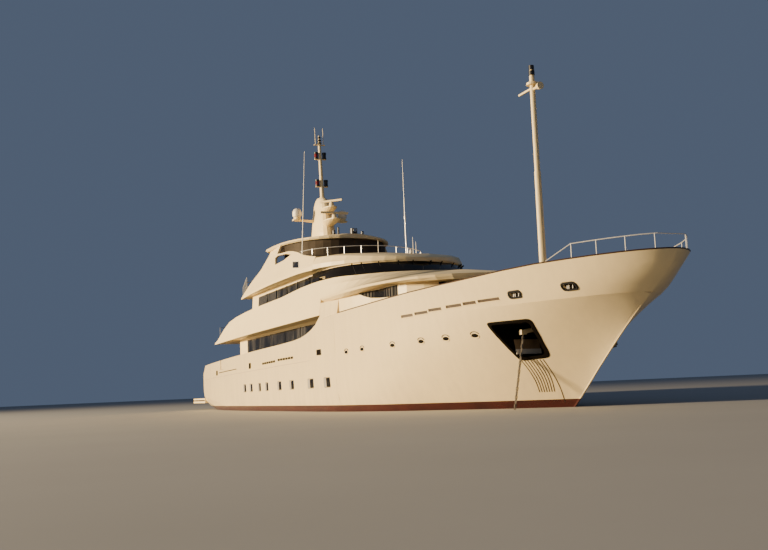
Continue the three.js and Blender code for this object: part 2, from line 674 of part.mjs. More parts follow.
addPiece('upper_deck', symmetricLoft(upperStations.map((x) => {
  const high = Math.min(UPPER_DECK_Z, upperWingTop(x) - 0.02);
  const inside = upperWingHalf(x) - WING_THICK - GAP;
  return [UPPER_DECK_Z - DECK_PLATE, high].map((z) => [x, inside - wingInset(z), z]);
})), 'paint');

function upperWing(side) {
  return ringLoft(upperStations.map((x) => {
    const high = Math.max(upperWingTop(x), wingBottom + 0.08);
    const at = (z, inset) => [x, side * (upperWingHalf(x) - inset - wingInset(z)), z];
    const levels = [wingBottom, (wingBottom + high) / 2, high];
    return [...levels.map((z) => at(z, 0)), at(high, WING_THICK), at(wingBottom, WING_THICK)];
  }));
}

addPair('upper_bulwark', upperWing, 'paint');

// Brow round the wheelhouse: a breast-high rim with a sunk walkway inside it, sloping down to a lip ahead
function browSection(x) {
  const under = browUnder(x);
  const lip = browLip(x) - 0.09 * Math.max(0, 1 - (x - PLATING_X) / 1.8);
  const crest = Math.max(browCrest(x), 0.04 * lip);
  const top = upperWingTop(x);
  return [
    [x, lip * 0.955, under], [x, lip - 0.05 * lip / UPPER_HALF, BROW.ridge - 0.11], [x, lip, BROW.ridge],
    [x, (crest + lip) / 2, BROW.ridge + (top - BROW.ridge) * 0.6], [x, crest, top],
  ];
}

const walkway = symmetricLoft([SIDE_JOINT_X, 8, 9, 10, 10.9, 11.7, 12.3, BROW.floorEnd].map((x) => (
  [BROW.floor, UPPER_DECK_Z + 2].map((z) => [x, browCrest(x) - BROW.rim, z])
)));
const browStations = [
  PLATING_X, 8, 9, 10, 10.9, 11.7, 12.3, 12.8, 13.1, 13.3, 13.43, 13.9, 14.8, 15.7, 16.5, 17.1, 17.55,
  17.8, 17.95, 18.04, 18.085,
];
const brow = cut(symmetricLoft(browStations.map(browSection)), walkway);
addPiece('bridge_brow', brow, 'paint');
addPiece('forward_house', cutBelow(forwardHouseGeometry(), brow), 'paint');

// Sun deck: a slab between its wings, a raised platform forward, and the crowned wheelhouse roof
const SUN_WING = { thick: 0.15, lean: 0.42, end: ROOF.edgeStart };
const ARCH = { aft: -6.9, fore: -4.35, top: 10.9 };
const wingSlope = curve([
  [-12.2, 8.12], [-9.9, 9.08], [-7.9, 9.66], [-7.0, 10.45], [-6.9, 10.5], [-4.3, 10.24], [-3.3, 10.12],
  [-1.3, 9.95], [1.0, 9.52], [2.6, 9.1], [4.1, 8.81], [SUN_WING.end, ROOF.plateau],
]);
const sunWingTop = (x) => (x > ARCH.aft && x < ARCH.fore ? ARCH.top : wingSlope(x));

const wingStations = [
  -12.2, -11.4, -10.6, -9.9, -8.9, -7.9, -7.4, -7.0, ARCH.aft - 0.001, ARCH.aft + 0.001, -5.8,
  ARCH.fore - 0.001, ARCH.fore + 0.001, -3.3, -2.3, -1.3, -0.3, 1, 1.8, 2.6,
  ROOF.stepX - 0.001, ROOF.stepX + 0.001, 3.9, SUN_WING.end,
];
const roofStations = [SUN_WING.end + 0.004, 5.2, 6, 6.8, 7.5, 8, 8.4, 8.7, 8.9, 9.02, 9.08];

function slabSection(x) {
  const half = roofHalf(x) - SUN_WING.thick - GAP;
  const top = x > ROOF.stepX ? ROOF.plateau : Math.min(SUN_DECK_Z, sunWingTop(x) - 0.01);
  const under = roofUnder(x);
  const edge = Math.min(SUN_DECK_Z, top) - 0.01;
  const inner = half - SUN_WING.lean * Math.max(0, top - SUN_DECK_Z);
  return [
    [x, half - 0.02, under], [x, half, under + 0.02], [x, half, under + 0.03], [x, half, edge],
    [x, inner, top], [x, inner * 0.5, top],
  ];
}

function roofSection(x) {
  const half = roofHalf(x);
  const rise = roofEdge(x) - ROOF.lip;
  return [
    [x, half * 0.93, roofUnder(x)], [x, half, ROOF.lip], [x, half * 0.997, ROOF.lip + rise * 0.35],
    [x, half * 0.97 - 0.13 * rise, ROOF.lip + rise * 0.9], [x, half * 0.8, (roofEdge(x) + roofCrown(x)) / 2],
    [x, half * 0.4, roofCrown(x)],
  ];
}

const sunDeck = symmetricLoft([...wingStations.map(slabSection), ...roofStations.map(roofSection)]);
addPiece('sun_deck', sunDeck, 'paint');

// Upper deckhouse and wheelhouse, whose front windows rake back from the walkway to the roof
const UPPER_HOUSE = {
  aft: -10.3, half: 4.3, headHalf: 4.2, curveStart: 3.2, tip: 10.6, headTip: 8.75, sill: 6.78, corner: 0.35,
};
const BRIDGE_DOOR = {
  aft: 4.3, fore: 5.05, inner: 3.86, face: 4.07, thick: 0.05, sill: UPPER_DECK_Z + 0.05, top: 7.5,
  room: 0.026,
};

function upperHouseStation(foot, head, half, headHalf, low) {
  return [[foot, half, low], [foot, half, UPPER_HOUSE.sill], [head, headHalf, roofUnder(head) + 0.06]];
}

function upperHouseGeometry() {
  const { aft, half, headHalf, curveStart, tip, headTip, corner } = UPPER_HOUSE;
  const deck = UPPER_DECK_Z + GAP;
  const straight = [
    upperHouseStation(aft, aft, half - corner, headHalf - corner, deck),
    upperHouseStation(aft + corner, aft + corner, half, headHalf, deck),
    upperHouseStation(-4, -4, half, headHalf, deck),
  ];
  const joint = (SIDE_JOINT_X - 0.012 - curveStart) / (tip - curveStart);
  const shares = [
    0, 0.2, 0.36, 0.47, joint - 0.001, joint + 0.001, 0.66, 0.76, 0.84, 0.9, 0.945, 0.975, 0.992,
  ];
  const rounded = shares.map((share) => {
    const fullness = (1 - share ** 3.2) ** 0.6;
    const low = share < joint ? deck : BROW.floor + GAP;
    return upperHouseStation(
      curveStart + (tip - curveStart) * share, curveStart + (headTip - curveStart) * share,
      half * fullness, headHalf * fullness, low,
    );
  });
  const body = symmetricLoft([...straight, ...rounded]);
  const { aft: doorAft, fore: doorFore, inner, sill, top, room } = BRIDGE_DOOR;
  const wheelhouseDoors = [-1, 1].map((side) => (
    block(doorAft - room, doorFore + room, ...ordered(side * inner, side * 5), sill, top + room)
  ));
  const railed = join(body, doorRail(aft, UPPER_DECK_Z));
  const opened = cut(railed, entranceCut(aft, UPPER_DECK_Z), ...wheelhouseDoors);
  return cutBelow(opened, sunDeck);
}

addPiece('upper_deckhouse', upperHouseGeometry(), 'paint');

// The wheelhouse's side doors, hinged at their forward edges
function wheelhouseDoor(side) {
  const { aft, fore, face, thick, sill, top } = BRIDGE_DOOR;
  const leaf = block(aft, fore, ...ordered(side * face, side * (face - thick)), sill + 0.03, top);
  return pinnedLeaf(leaf, [fore - thick / 2, side * (face - thick / 2)], sill, top - 0.1);
}

addPair('wheelhouse_door', wheelhouseDoor, 'paint');
addPair('upper_saloon_door', (side) => slidingLeaf(UPPER_HOUSE.aft, UPPER_DECK_Z, side), 'glass');

// Hardtop with the posts that carry its forward end
// Columns: x, half distance from the centreline, radius
const HARDTOP_POSTS = [[-2.4, 2.2, 0.06]];
const hardtopAftShare = curve([
  [-8.58, 0.25], [-8.5, 0.5], [-8.4, 0.65], [-8.2, 0.78], [-7.9, 0.9], [-7.2, 1],
]);
const hardtopStations = [
  -8.58, -8.5, -8.4, -8.2, -7.9, -7.2, -5.6, -4.4, -3.4, -2.5, -1.8, -1.3, -0.95, -0.7, -0.6, -0.56,
];
const hardtopRoof = symmetricLoft(hardtopStations.map((x) => {
  const half = hardtopHalf(x) * hardtopAftShare(x);
  return [
    [x, half * 0.97, HARDTOP.under], [x, half, HARDTOP.under + 0.08], [x, half * 0.985, HARDTOP.edge],
    [x, half * 0.7, HARDTOP.top],
  ];
}));
const hardtop = join(hardtopRoof, ...HARDTOP_POSTS.flatMap(([x, y, r]) => [-1, 1].map((side) => (
  rod([x, side * y, SUN_DECK_Z + GAP], [x, side * y, HARDTOP.under + 0.1], r, r, 8)
))));
addPiece('hardtop', hardtop, 'paint');

// Side wings of the sun deck: they sweep up to arches under the hardtop, with a fin-shaped opening ahead
const FIN_OPENING = [
  [-4.5, 9.99], [-3.95, 10.07], [-1.8, 9.86], [-0.47, 9.61], [-1.85, 9.42], [-3.65, 9.41],
];

function sunWing(side) {
  const wall = ringLoft(wingStations.map((x) => {
    const high = sunWingTop(x);
    const bottom = roofUnder(x) - 0.03;
    const floor = Math.min(SUN_DECK_Z, high - 0.01);
    const leanAt = (z) => SUN_WING.lean * Math.max(0, z - SUN_DECK_Z);
    const at = (z, inset) => [x, side * (roofHalf(x) - inset - leanAt(z)), z];
    const levels = [bottom, floor, floor + (high - floor) * 0.5, high];
    return [...levels.map((z) => at(z, 0)), ...levels.map((z) => at(z, SUN_WING.thick)).reverse()];
  }));
  return cutBelow(cut(wall, plate(FIN_OPENING, -6, 6, 'XZ')), hardtop);
}

addPair('sun_deck_wing', sunWing, 'paint');

// Curved glass screen under the hardtop
const SCREEN = { aft: -4.3, tip: -0.75, half: 3.75, thick: 0.06 };
const screenHalf = roundedEnd(SCREEN.half, -7.2, SCREEN.tip, 3, 0.5);
const screenStations = [...spread(SCREEN.aft, -2.6, 2), ...towardsTip(-2.6, SCREEN.tip - 0.001, 7)];
addPiece('sun_deck_screen', ringLoft(wallRings(
  roundTheBow(screenStations, screenHalf), SCREEN.thick, () => SUN_DECK_Z + GAP, () => HARDTOP.under - GAP,
)), 'glass');

// Radar mast on the hardtop
function ellipseRing(x, z, rx, ry, sides = 20) {
  return Array.from({ length: sides }, (_, i) => {
    const a = (2 * Math.PI * i) / sides;
    return [x + rx * Math.cos(a), ry * Math.sin(a), z];
  });
}

// Columns: z, centre offset forward, half length, half width
const TOWER = [
  [10.95, 0, 1.57, 0.78], [12, 0, 1.45, 0.72], [13.2, -0.05, 1.2, 0.6], [14.1, -0.12, 0.95, 0.48],
  [14.45, -0.16, 0.75, 0.38], [14.62, -0.2, 0.5, 0.28],
];
const DOME_ARM = { x: MAST_X - 0.6, y: 1.7, z: 13.05, root: 0.55, tip: 0.36, thick: 0.1 };
// Columns: z of the bracket's top, reach forward of the mast, half width
const RADAR_SHELVES = [[12.74, 2.7, 0.52], [13.66, 2.24, 0.46]];
const PEDESTAL = { setback: 0.42, height: 0.26, foot: 0.2, head: 0.15 };

// A shelf with a round nose that swells out of the tower, and the scanner's pedestal on it
function radarShelf([z, reach, half]) {
  const root = 0.5;
  // Columns: depth below the top, share of the reach, share of the width
  const levels = [[0.38, 0.4, 0.5], [0.17, 0.86, 0.85], [0.07, 1, 1], [0, 1, 1]];
  const bowl = ringLoft(levels.map(([depth, length, width]) => {
    const halfLength = ((reach - root) / 2) * length;
    return ellipseRing(MAST_X + root + halfLength, z - depth, halfLength, half * width, 16);
  }));
  const x = MAST_X + reach - PEDESTAL.setback;
  const pedestal = rod([x, 0, z - 0.05], [x, 0, z + PEDESTAL.height], PEDESTAL.foot, PEDESTAL.head, 14);
  return [bowl, pedestal];
}

function domeArm(side) {
  const { x, y, z, root, tip, thick } = DOME_ARM;
  const ring = (out, half, dz) => [
    [x - half, side * out, z + dz], [x, side * out, z + dz + thick],
    [x + half, side * out, z + dz], [x, side * out, z + dz - thick * 0.6],
  ];
  const arm = ringLoft([ring(0.2, root, 0), ring(1.1, tip, 0.02), ring(y + 0.3, tip * 0.8, 0.05)]);
  const pad = rod([x, side * y, z], [x, side * y, z + 0.24], 0.24, 0.24, 14);
  return [arm, pad];
}

addPiece('mast_tower', cutAbove(join(
  ringLoft(TOWER.map(([z, dx, rx, ry]) => ellipseRing(MAST_X + dx, z, rx, ry))),
  ...RADAR_SHELVES.flatMap(radarShelf), ...domeArm(-1), ...domeArm(1),
), hardtop), 'paint');

function dome(side) {
  const profile = [
    [0, 0.24 + GAP], [0.22, 0.24 + GAP], [0.3, 0.3], [0.33, 0.45], [0.32, 0.63], [0.25, 0.79], [0.13, 0.87],
    [0, 0.9],
  ].map(([r, z]) => new THREE.Vector2(r * METRE, z * METRE));
  const geometry = new THREE.LatheGeometry(profile, 18);
  geometry.rotateX(Math.PI / 2);
  geometry.translate(DOME_ARM.x * METRE, side * DOME_ARM.y * METRE, DOME_ARM.z * METRE);
  return geometry;
}

addPair('satcom_dome', dome, 'dome');

// Pole mast with its spreaders, lantern boxes and aerials
const POLE = { footX: MAST_X + 0.05, rake: 0.06, low: 14.62, high: 18.62, twinTop: 19.8, twinHalf: 0.3 };
// Columns: z, half width of the spreader
const SPREADERS = [[15.42, 0.44], [17.44, 0.42], [18.5, 0.4]];

function poleGeometry() {
  const at = (y, z) => [POLE.footX - POLE.rake * (z - POLE.low), y, z];
  const foot = rod([POLE.footX, 0, POLE.low + GAP], [POLE.footX, 0, POLE.low + 0.12], 0.18, 0.16, 12);
  const pieces = [foot, rod(at(0, POLE.low + 0.03), at(0, POLE.high), 0.15, 0.1, 12)];
  for (const [z, half] of SPREADERS) {
    const [x] = at(0, z);
    pieces.push(block(x - 0.07, x + 0.07, -half, half, z, z + 0.05));
  }
  for (const [z, half] of SPREADERS.slice(0, 2)) {
    for (const y of [-half + 0.12, half - 0.12]) {
      pieces.push(rod(at(y, z + 0.03), at(y, z + 0.44), 0.12, 0.12, 10));
    }
  }
  pieces.push(rod(at(0, POLE.high - 0.05), at(0, POLE.high + 0.6), 0.09, 0.06, 10));
  for (const y of [-POLE.twinHalf, POLE.twinHalf]) {
    pieces.push(rod(at(y, SPREADERS[2][0] + 0.02), at(y, POLE.twinTop), 0.022, 0.014, 6));
  }
  return join(...pieces);
}

addPiece('mast_pole', poleGeometry(), 'paint');

// Open radar scanners, which turn on their pedestals; each bar rests at its own angle
function scanner([z, reach], length, angle) {
  const x = MAST_X + reach - PEDESTAL.setback;
  const low = z + PEDESTAL.height + GAP;
  const bar = block(-0.07, 0.07, -length / 2, length / 2, low + 0.07, low + 0.2);
  bar.rotateZ(angle);
  bar.translate(x * METRE, 0, 0);
  return join(rod([x, 0, low], [x, 0, low + 0.09], 0.13, 0.1, 12), bar);
}

addPiece('radar_scanner_lower', scanner(RADAR_SHELVES[0], 2.0, 0), 'paint');
addPiece('radar_scanner_upper', scanner(RADAR_SHELVES[1], 1.6, -Math.PI / 4), 'paint');

// Foremast on the foredeck, leaning a little forward
const FOREMAST = { high: 14.35, radius: 0.165, headRadius: 0.115, headX: FOREMAST_X + 0.08 };
addPiece('foremast', join(
  rod([FOREMAST_X, 0, FOREDECK_Z + GAP], [FOREMAST_X, 0, 4.5], 0.32, 0.2, 16),
  rod([FOREMAST_X, 0, 4.2], [FOREMAST_X + 0.045, 0, 10.1], FOREMAST.radius, 0.14, 16),
  rod([FOREMAST_X + 0.045, 0, 10.05], [FOREMAST.headX, 0, FOREMAST.high], 0.12, FOREMAST.headRadius, 16),
  rod([FOREMAST.headX, 0, 13.95], [FOREMAST.headX, 0, 14.05], 0.26, 0.26, 16),
  rod([FOREMAST.headX, 0, FOREMAST.high - 0.05], [FOREMAST.headX, 0, FOREMAST.high + 0.5], 0.1, 0.09, 12),
  block(FOREMAST.headX - 1.1, FOREMAST.headX + 0.1, -0.04, 0.04, 13.78, 13.86),
  rod([FOREMAST.headX, 0, 13.75], [FOREMAST.headX + 0.5, 0, 13.75], 0.06, 0.06, 10),
  rod([FOREMAST.headX + 0.4, 0, 13.75], [FOREMAST.headX + 0.62, 0, 13.75], 0.12, 0.17, 14),
), 'paint');

// Stainless rail round the bow
function tubeAlong(points, radius, sides = 6) {
  const line = points.map((p) => new THREE.Vector3(...p).multiplyScalar(METRE));
  return ringLoft(line.map((p, i) => {
    const along = line[Math.min(i + 1, line.length - 1)].clone().sub(line[Math.max(i - 1, 0)]).normalize();
    const across = new THREE.Vector3(0, 0, 1).cross(along).normalize();
    const up = along.clone().cross(across);
    return Array.from({ length: sides }, (_, k) => {
      const a = (2 * Math.PI * k) / sides;
      const q = p.clone().addScaledVector(across, radius * METRE * Math.cos(a));
      q.addScaledVector(up, radius * METRE * Math.sin(a));
      return [q.x / METRE, q.y / METRE, q.z / METRE];
    });
  }));
}

const BOW_RAIL = { start: 25.1, height: 0.52, radius: 0.019, inset: 0.09 };

function railAt(x, side) {
  const half = Math.max(hullHalf(x, bulwarkTop(x)) - BOW_RAIL.inset, 0);
  return [x, side * half, bulwarkTop(x) + CAP.height];
}

function bowRailGeometry() {
  const xs = [26.15, 26.7, 27.2, 27.7, 28.1, 28.4, 28.6, 28.74];
  const lift = (p, h) => [p[0], p[1], p[2] + h];
  const ends = (side) => [lift(railAt(BOW_RAIL.start, side), GAP + 0.02)];
  const starboard = xs.map((x) => lift(railAt(x, -1), BOW_RAIL.height));
  const port = xs.map((x) => lift(railAt(x, 1), BOW_RAIL.height)).reverse();
  const top = tubeAlong([...ends(-1), ...starboard, ...port, ...ends(1)], BOW_RAIL.radius);
  const posts = [26.15, 27.05, 27.95, 28.68].flatMap((x) => [-1, 1].map((side) => rod(
    lift(railAt(x, side), GAP), lift(railAt(x, side), BOW_RAIL.height), BOW_RAIL.radius, BOW_RAIL.radius, 6,
  )));
  return join(top, ...posts);
}

addPiece('bow_rail', bowRailGeometry(), 'steel');

// Rail round the forward end of the sun deck; its posts stand on the deck and on the wheelhouse roof
const SUN_RAIL = { high: 9.65, radius: 0.02, start: -0.4, tip: 3.45, half: 4.05, curveStart: 0 };
const sunRailHalf = roundedEnd(SUN_RAIL.half, SUN_RAIL.curveStart, SUN_RAIL.tip, 2.2, 0.6);

function sunRailGeometry() {
  const xs = [SUN_RAIL.start, 0.4, 1.1, 1.7, 2.2, 2.6, 2.9, 3.15, 3.32, 3.42];
  const starboard = xs.map((x) => [x, -sunRailHalf(x), SUN_RAIL.high]);
  const port = xs.map((x) => [x, sunRailHalf(x), SUN_RAIL.high]).reverse();
  const posts = [SUN_RAIL.start + 0.02, 0.6, 1.5, 2.3, 2.87, 3.25].flatMap((x) => [-1, 1].map((side) => {
    const y = side * sunRailHalf(x);
    return rod([x, y, SUN_DECK_Z - 0.1], [x, y, SUN_RAIL.high], 0.026, 0.026, 6);
  }));
  return cutAbove(join(tubeAlong([...starboard, ...port], SUN_RAIL.radius), ...posts), sunDeck);
}

addPiece('sun_deck_rail', sunRailGeometry(), 'steel');

// Whip aerials, one on the starboard wing and one on the wheelhouse roof
// Columns: name, foot before the cut, top
const WHIPS = [
  ['whip_aerial_aft', [1.9, -4.43, 9.27], [1.95, -4.1, 15.6]],
  ['whip_aerial_forward', [6.9, 0.1, 8.5], [6.9, 0.1, 14.1]],
];
for (const [name, foot, tip] of WHIPS) {
  const whip = rod(foot, tip, 0.035, 0.012, 8);
  addPiece(name, cutAbove(cutAbove(whip, sunDeck), sunWing(-1)), 'dome');
}

// Anchor gear
function windlass(side) {
  const [x, y, z] = [21.9, side * 1.1, FOREDECK_Z + GAP];
  return join(
    block(x - 0.4, x + 0.4, y - 0.3, y + 0.3, z, z + 0.16),
    rod([x, y - 0.28, z + 0.42], [x, y + 0.28, z + 0.42], 0.24, 0.24, 14),
    block(x - 0.14, x + 0.14, y - 0.16, y + 0.16, z + 0.1, z + 0.66),
    rod([x, y, z + 0.1], [x, y, z + 0.85], 0.12, 0.16, 12),
  );
}

addPair('windlass', windlass, 'steel');

const ANCHOR = { shank: 1.15, fluke: 0.75, spread: 0.42 };

// A stockless anchor hanging from the top of its shank, built at its own origin
function anchorShape() {
  const { shank, fluke, spread: wide } = ANCHOR;
  const section = (y, tipY, halfLow, halfHigh, low, high) => [
    [-halfLow, y, low], [halfLow, y, low], [halfHigh, tipY, high], [-halfHigh, tipY, high],
  ];
  const arm = (side) => ringLoft([
    section(side * 0.1, side * 0.1, 0.12, 0.12, -shank, -shank + 0.2),
    section(side * wide, side * wide, 0.14, 0.1, -shank + 0.02, -shank + 0.16),
    section(side * (wide + 0.1), side * (wide + 0.08), 0.02, 0.02, -shank + fluke, -shank + fluke),
  ]);
  return join(
    block(-0.07, 0.07, -0.09, 0.09, -shank, 0),
    block(-0.16, 0.16, -0.3, 0.3, -shank - 0.06, -shank + 0.2),
    arm(-1), arm(1),
  );
}

// The chain leads down and outwards from the hawse pipe, straight along its pull
const CHAIN = { length: 3.95, lean: 0.2, link: 0.24, width: 0.125, wire: 0.028 };

function chainGeometry() {
  const pitch = CHAIN.link - 2.4 * CHAIN.wire;
  const count = Math.floor(CHAIN.length / pitch);
  const links = Array.from({ length: count }, (_, i) => {
    const centre = -CHAIN.link / 2 - i * pitch;
    const points = Array.from({ length: 8 }, (_, k) => {
      const a = (2 * Math.PI * k) / 8 + Math.PI / 8;
      const across = (CHAIN.width / 2 - CHAIN.wire) * Math.cos(a) * 1.08;
      const along = (CHAIN.link / 2 - CHAIN.wire) * Math.sin(a) * 1.08;
      return { across, along, a };
    });
    const rings = points.map(({ across, along, a }) => Array.from({ length: 4 }, (_, k) => {
      const b = (2 * Math.PI * k) / 4;
      const out = CHAIN.wire * Math.cos(b);
      const side = CHAIN.wire * Math.sin(b);
      const flat = across + out * Math.cos(a);
      const up = centre + along + out * Math.sin(a);
      return i % 2 ? [flat, side, up] : [side, flat, up];
    }));
    return ringLoft(rings, true);
  });
  return join(...links);
}

const chain = chainGeometry();
chain.computeBoundingBox();
const chainLow = chain.boundingBox.min.z / METRE;
const hanging = anchorShape();
hanging.translate(0, 0, (chainLow - GAP) * METRE);
chain.rotateX(-CHAIN.lean);
hanging.rotateX(-CHAIN.lean);
chain.computeBoundingBox();
const chainLift = (HAWSE.low - GAP) * METRE - chain.boundingBox.max.z;
for (const piece of [chain, hanging]) piece.translate(HAWSE.x * METRE, HAWSE.y * METRE, chainLift);
addPiece('anchor_chain', chain, 'galvanised');
addPiece('anchor_starboard', hanging, 'galvanised');
const HOUSED = { x: 22.22, y: 1.75, z: 3.52, tilt: 0.2 };
const housed = anchorShape();
housed.rotateZ(Math.PI / 2);
housed.rotateX(HOUSED.tilt);
housed.translate(HOUSED.x * METRE, HOUSED.y * METRE, HOUSED.z * METRE);
addPiece('anchor_port', cut(housed, block(21, 25, 0, 4, POCKET_TOP - GAP, 5)), 'galvanised');

// Foredeck hatch
const HATCH = { x: [19.4, 20.15], y: [1.2, 2.0], coaming: 0.14, wall: 0.06, overlap: 0.03, lid: 0.06 };

// A block over the hatch's plan, grown by a margin on its four sides
function hatchBlock(margin, low, high) {
  const [x0, x1] = HATCH.x;
  const [y0, y1] = HATCH.y;
  return block(x0 - margin, x1 + margin, y0 - margin, y1 + margin, FOREDECK_Z + low, FOREDECK_Z + high);
}

addPiece('hatch_coaming', cut(
  hatchBlock(0, GAP, HATCH.coaming), hatchBlock(-HATCH.wall, 0.05, 1),
), 'paint');
const LID_LOW = HATCH.coaming + GAP;
addPiece('hatch_lid', hatchBlock(HATCH.overlap, LID_LOW, LID_LOW + HATCH.lid), 'paint');

// Propellers on their shafts, with struts from the hull
function propellerGeometry(side) {
  const blade = (i) => {
    const turn = (2 * Math.PI * i) / PROPELLER.blades;
    // Columns: radius, chord, pitch angle
    const sections = [
      [0.12, 0.3, 62], [0.35, 0.5, 48], [0.65, 0.58, 34], [0.88, 0.4, 27], [PROPELLER.radius, 0.12, 24],
    ];
    return ringLoft(sections.map(([r, chord, pitch]) => {
      const p = (side * pitch * Math.PI) / 180;
      const half = chord / 2;
      const thick = 0.05 * (1 - r * 0.7);
      return [[half, 0], [0, side * thick], [-half, 0], [0, -side * thick]].map(([c, t]) => {
        const along = c * Math.sin(p) + t * Math.cos(p);
        const across = c * Math.cos(p) - t * Math.sin(p);
        const y = r * Math.cos(turn) - across * Math.sin(turn);
        const z = r * Math.sin(turn) + across * Math.cos(turn);
        return [along, y, z];
      });
    }));
  };
  const hub = rod([0.24, 0, 0], [-0.3, 0, 0], PROPELLER.hub, 0.15, 16);
  const cap = rod([-0.28, 0, 0], [-0.52, 0, 0], 0.15, 0.03, 16);
  return join(hub, cap, ...Array.from({ length: PROPELLER.blades }, (_, i) => blade(i)));
}

for (const [word, side] of [['starboard', -1], ['port', 1]]) {
  const centre = [PROPELLER.x, side * SHAFT_Y, PROPELLER.z];
  addPiece(`propeller_${word}`, propellerGeometry(side), 'bronze', centre);
}

const SHAFT = { foreX: -10.5, foreZ: -1.95, radius: 0.11 };
// Columns: x ahead of the propeller, half thickness with its side
const STRUT_FOIL = [[0.4, -0.05], [0.65, -0.09], [0.95, -0.03], [0.95, 0.03], [0.65, 0.09], [0.4, 0.05]];
// The after part of the hull, grown by the clearance
const hullRoom = symmetricLoft(hullStations.filter((x) => x < 2).map((x) => (
  hullStation(x).map(([a, half, z], level) => [a, half + GAP, level === 0 ? z - GAP : z])
)));

function shaftLine(side) {
  const y = side * SHAFT_Y;
  const end = [PROPELLER.x + 0.24 + GAP, y, PROPELLER.z];
  const fore = [SHAFT.foreX, y, SHAFT.foreZ];
  const barrel = [PROPELLER.x + 1.0, y, PROPELLER.z];
  const start = [PROPELLER.x + 0.8, y, PROPELLER.z];
  // The strut slants inboard on its way up to the hull; columns: z, shift from the shaft
  const strut = ringLoft([[-2.3, 0], [-0.9, -0.5]].map(([z, shift]) => (
    STRUT_FOIL.map(([x, half]) => [PROPELLER.x + x, y + half + side * shift, z])
  )));
  return cut(join(rod(start, fore, SHAFT.radius), rod(end, barrel, 0.2, 0.19, 14), strut), hullRoom);
}

addPair('shaft_line', shaftLine, 'steel');

// Bow thruster across its tunnel
const podRoom = cut(
  block(THRUSTER.x - 1, THRUSTER.x + 1, -1, 1, THRUSTER.z - 1, THRUSTER.z + 1),
  thrusterBore(2, THRUSTER.radius - 1.2 * GAP),
);
addPiece('thruster_pod', cut(join(
  rod([THRUSTER.x, 0.06, THRUSTER.z], [THRUSTER.x, 0.42, THRUSTER.z], 0.11, 0.11, 14),
  block(THRUSTER.x - 0.06, THRUSTER.x + 0.06, 0.16, 0.34, THRUSTER.z, THRUSTER.z + THRUSTER.radius),
), podRoom), 'bronze');

function thrusterPropeller() {
  const blades = [0, 1, 2, 3].map((i) => {
    const turn = (Math.PI * i) / 2;
    const ring = (r, half, twist) => [[half, 0], [0, 0.018], [-half, 0], [0, -0.018]].map(([c, t]) => {
      const across = c * Math.cos(twist) - t * Math.sin(twist);
      const along = c * Math.sin(twist) + t * Math.cos(twist);
      const x = r * Math.cos(turn) - across * Math.sin(turn);
      const z = r * Math.sin(turn) + across * Math.cos(turn);
      return [x, along, z];
    });
    return ringLoft([ring(0.06, 0.06, 0.9), ring(0.24, 0.12, 0.6), ring(0.4, 0.1, 0.45)]);
  });
  const hub = rod([0, -0.1, 0], [0, 0.1, 0], 0.1, 0.11, 14);
  const nose = rod([0, -0.2, 0], [0, -0.09, 0], 0.04, 0.1, 14);
  return join(hub, nose, ...blades);
}

addPiece('thruster_propeller', thrusterPropeller(), 'bronze', [THRUSTER.x, -0.04 - GAP, THRUSTER.z]);

// Rudders hang from short stocks
function rudderGeometry() {
  const { chord, height } = RUDDER;
  const port = [[0.35, 0.02], [0.2, 0.11], [-0.2, 0.13], [-0.65, 0.03]];
  const outline = [...port, ...port.map(([x, y]) => [x, -y]).reverse()];
  const foil = (z, size) => outline.map(([x, y]) => [x * size, y * size, z]);
  return join(
    ringLoft([foil(-height / 2, chord * 0.82), foil(height / 2, chord)]),
    rod([0, 0, height / 2 - 0.1], [0, 0, height / 2 + RUDDER.stock], 0.12, 0.12, 12),
  );
}

for (const [word, side] of [['starboard', -1], ['port', 1]]) {
  addPiece(`rudder_${word}`, rudderGeometry(), 'bottom', [RUDDER.x, side * SHAFT_Y, RUDDER.z]);
}

// Stabiliser fins on the turn of the bilge
const FIN_FOIL = [[0.5, 0], [0.1, 0.063], [-0.5, 0.007], [-0.5, -0.007], [0.1, -0.063]];

function finGeometry(side) {
  const a = (FIN.droop * Math.PI) / 180;
  const ring = (out, chord) => FIN_FOIL.map(([c, t]) => {
    const lift = t * chord;
    const y = out * Math.cos(a) + lift * Math.sin(a);
    const z = -out * Math.sin(a) + lift * Math.cos(a);
    return [c * chord, side * y, z];
  });
  return ringLoft([ring(FIN.seat, FIN.root), ring(FIN.reach, FIN.tip)]);
}

for (const [word, side] of [['starboard', -1], ['port', 1]]) {
  addPiece(`stabiliser_${word}`, finGeometry(side), 'bottom', [FIN.x, side * FIN.y, FIN.z]);
}

export default yacht;
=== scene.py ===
# Looks of the motor yacht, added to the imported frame.
# Tables hold lengths of the full-size ship in metres; SCALE turns them into metres of the 1:2 model.
# +X points forward, +Y to port, +Z up; the origin is amidships at the waterline.
import math

import bpy
from mathutils import Matrix, Vector
from mathutils.bvhtree import BVHTree
from mathutils.kdtree import KDTree


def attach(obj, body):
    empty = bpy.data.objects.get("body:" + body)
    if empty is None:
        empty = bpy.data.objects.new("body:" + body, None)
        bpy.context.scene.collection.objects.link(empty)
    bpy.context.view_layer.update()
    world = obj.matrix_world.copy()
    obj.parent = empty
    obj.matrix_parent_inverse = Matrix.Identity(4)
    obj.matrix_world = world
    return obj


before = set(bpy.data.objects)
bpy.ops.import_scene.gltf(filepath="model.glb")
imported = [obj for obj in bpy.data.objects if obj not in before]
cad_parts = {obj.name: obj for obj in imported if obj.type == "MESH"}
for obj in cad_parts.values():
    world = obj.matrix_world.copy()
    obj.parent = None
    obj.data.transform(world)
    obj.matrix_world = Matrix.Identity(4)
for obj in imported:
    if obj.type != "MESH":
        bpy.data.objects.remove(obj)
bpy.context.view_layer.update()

# Driving sizes
SCALE = 0.5
SIDES = (-1, 1)
MAIN_DECK = 2.95
UPPER_DECK = 5.5
SUN_DECK = 8.2
FOREDECK = 4.1
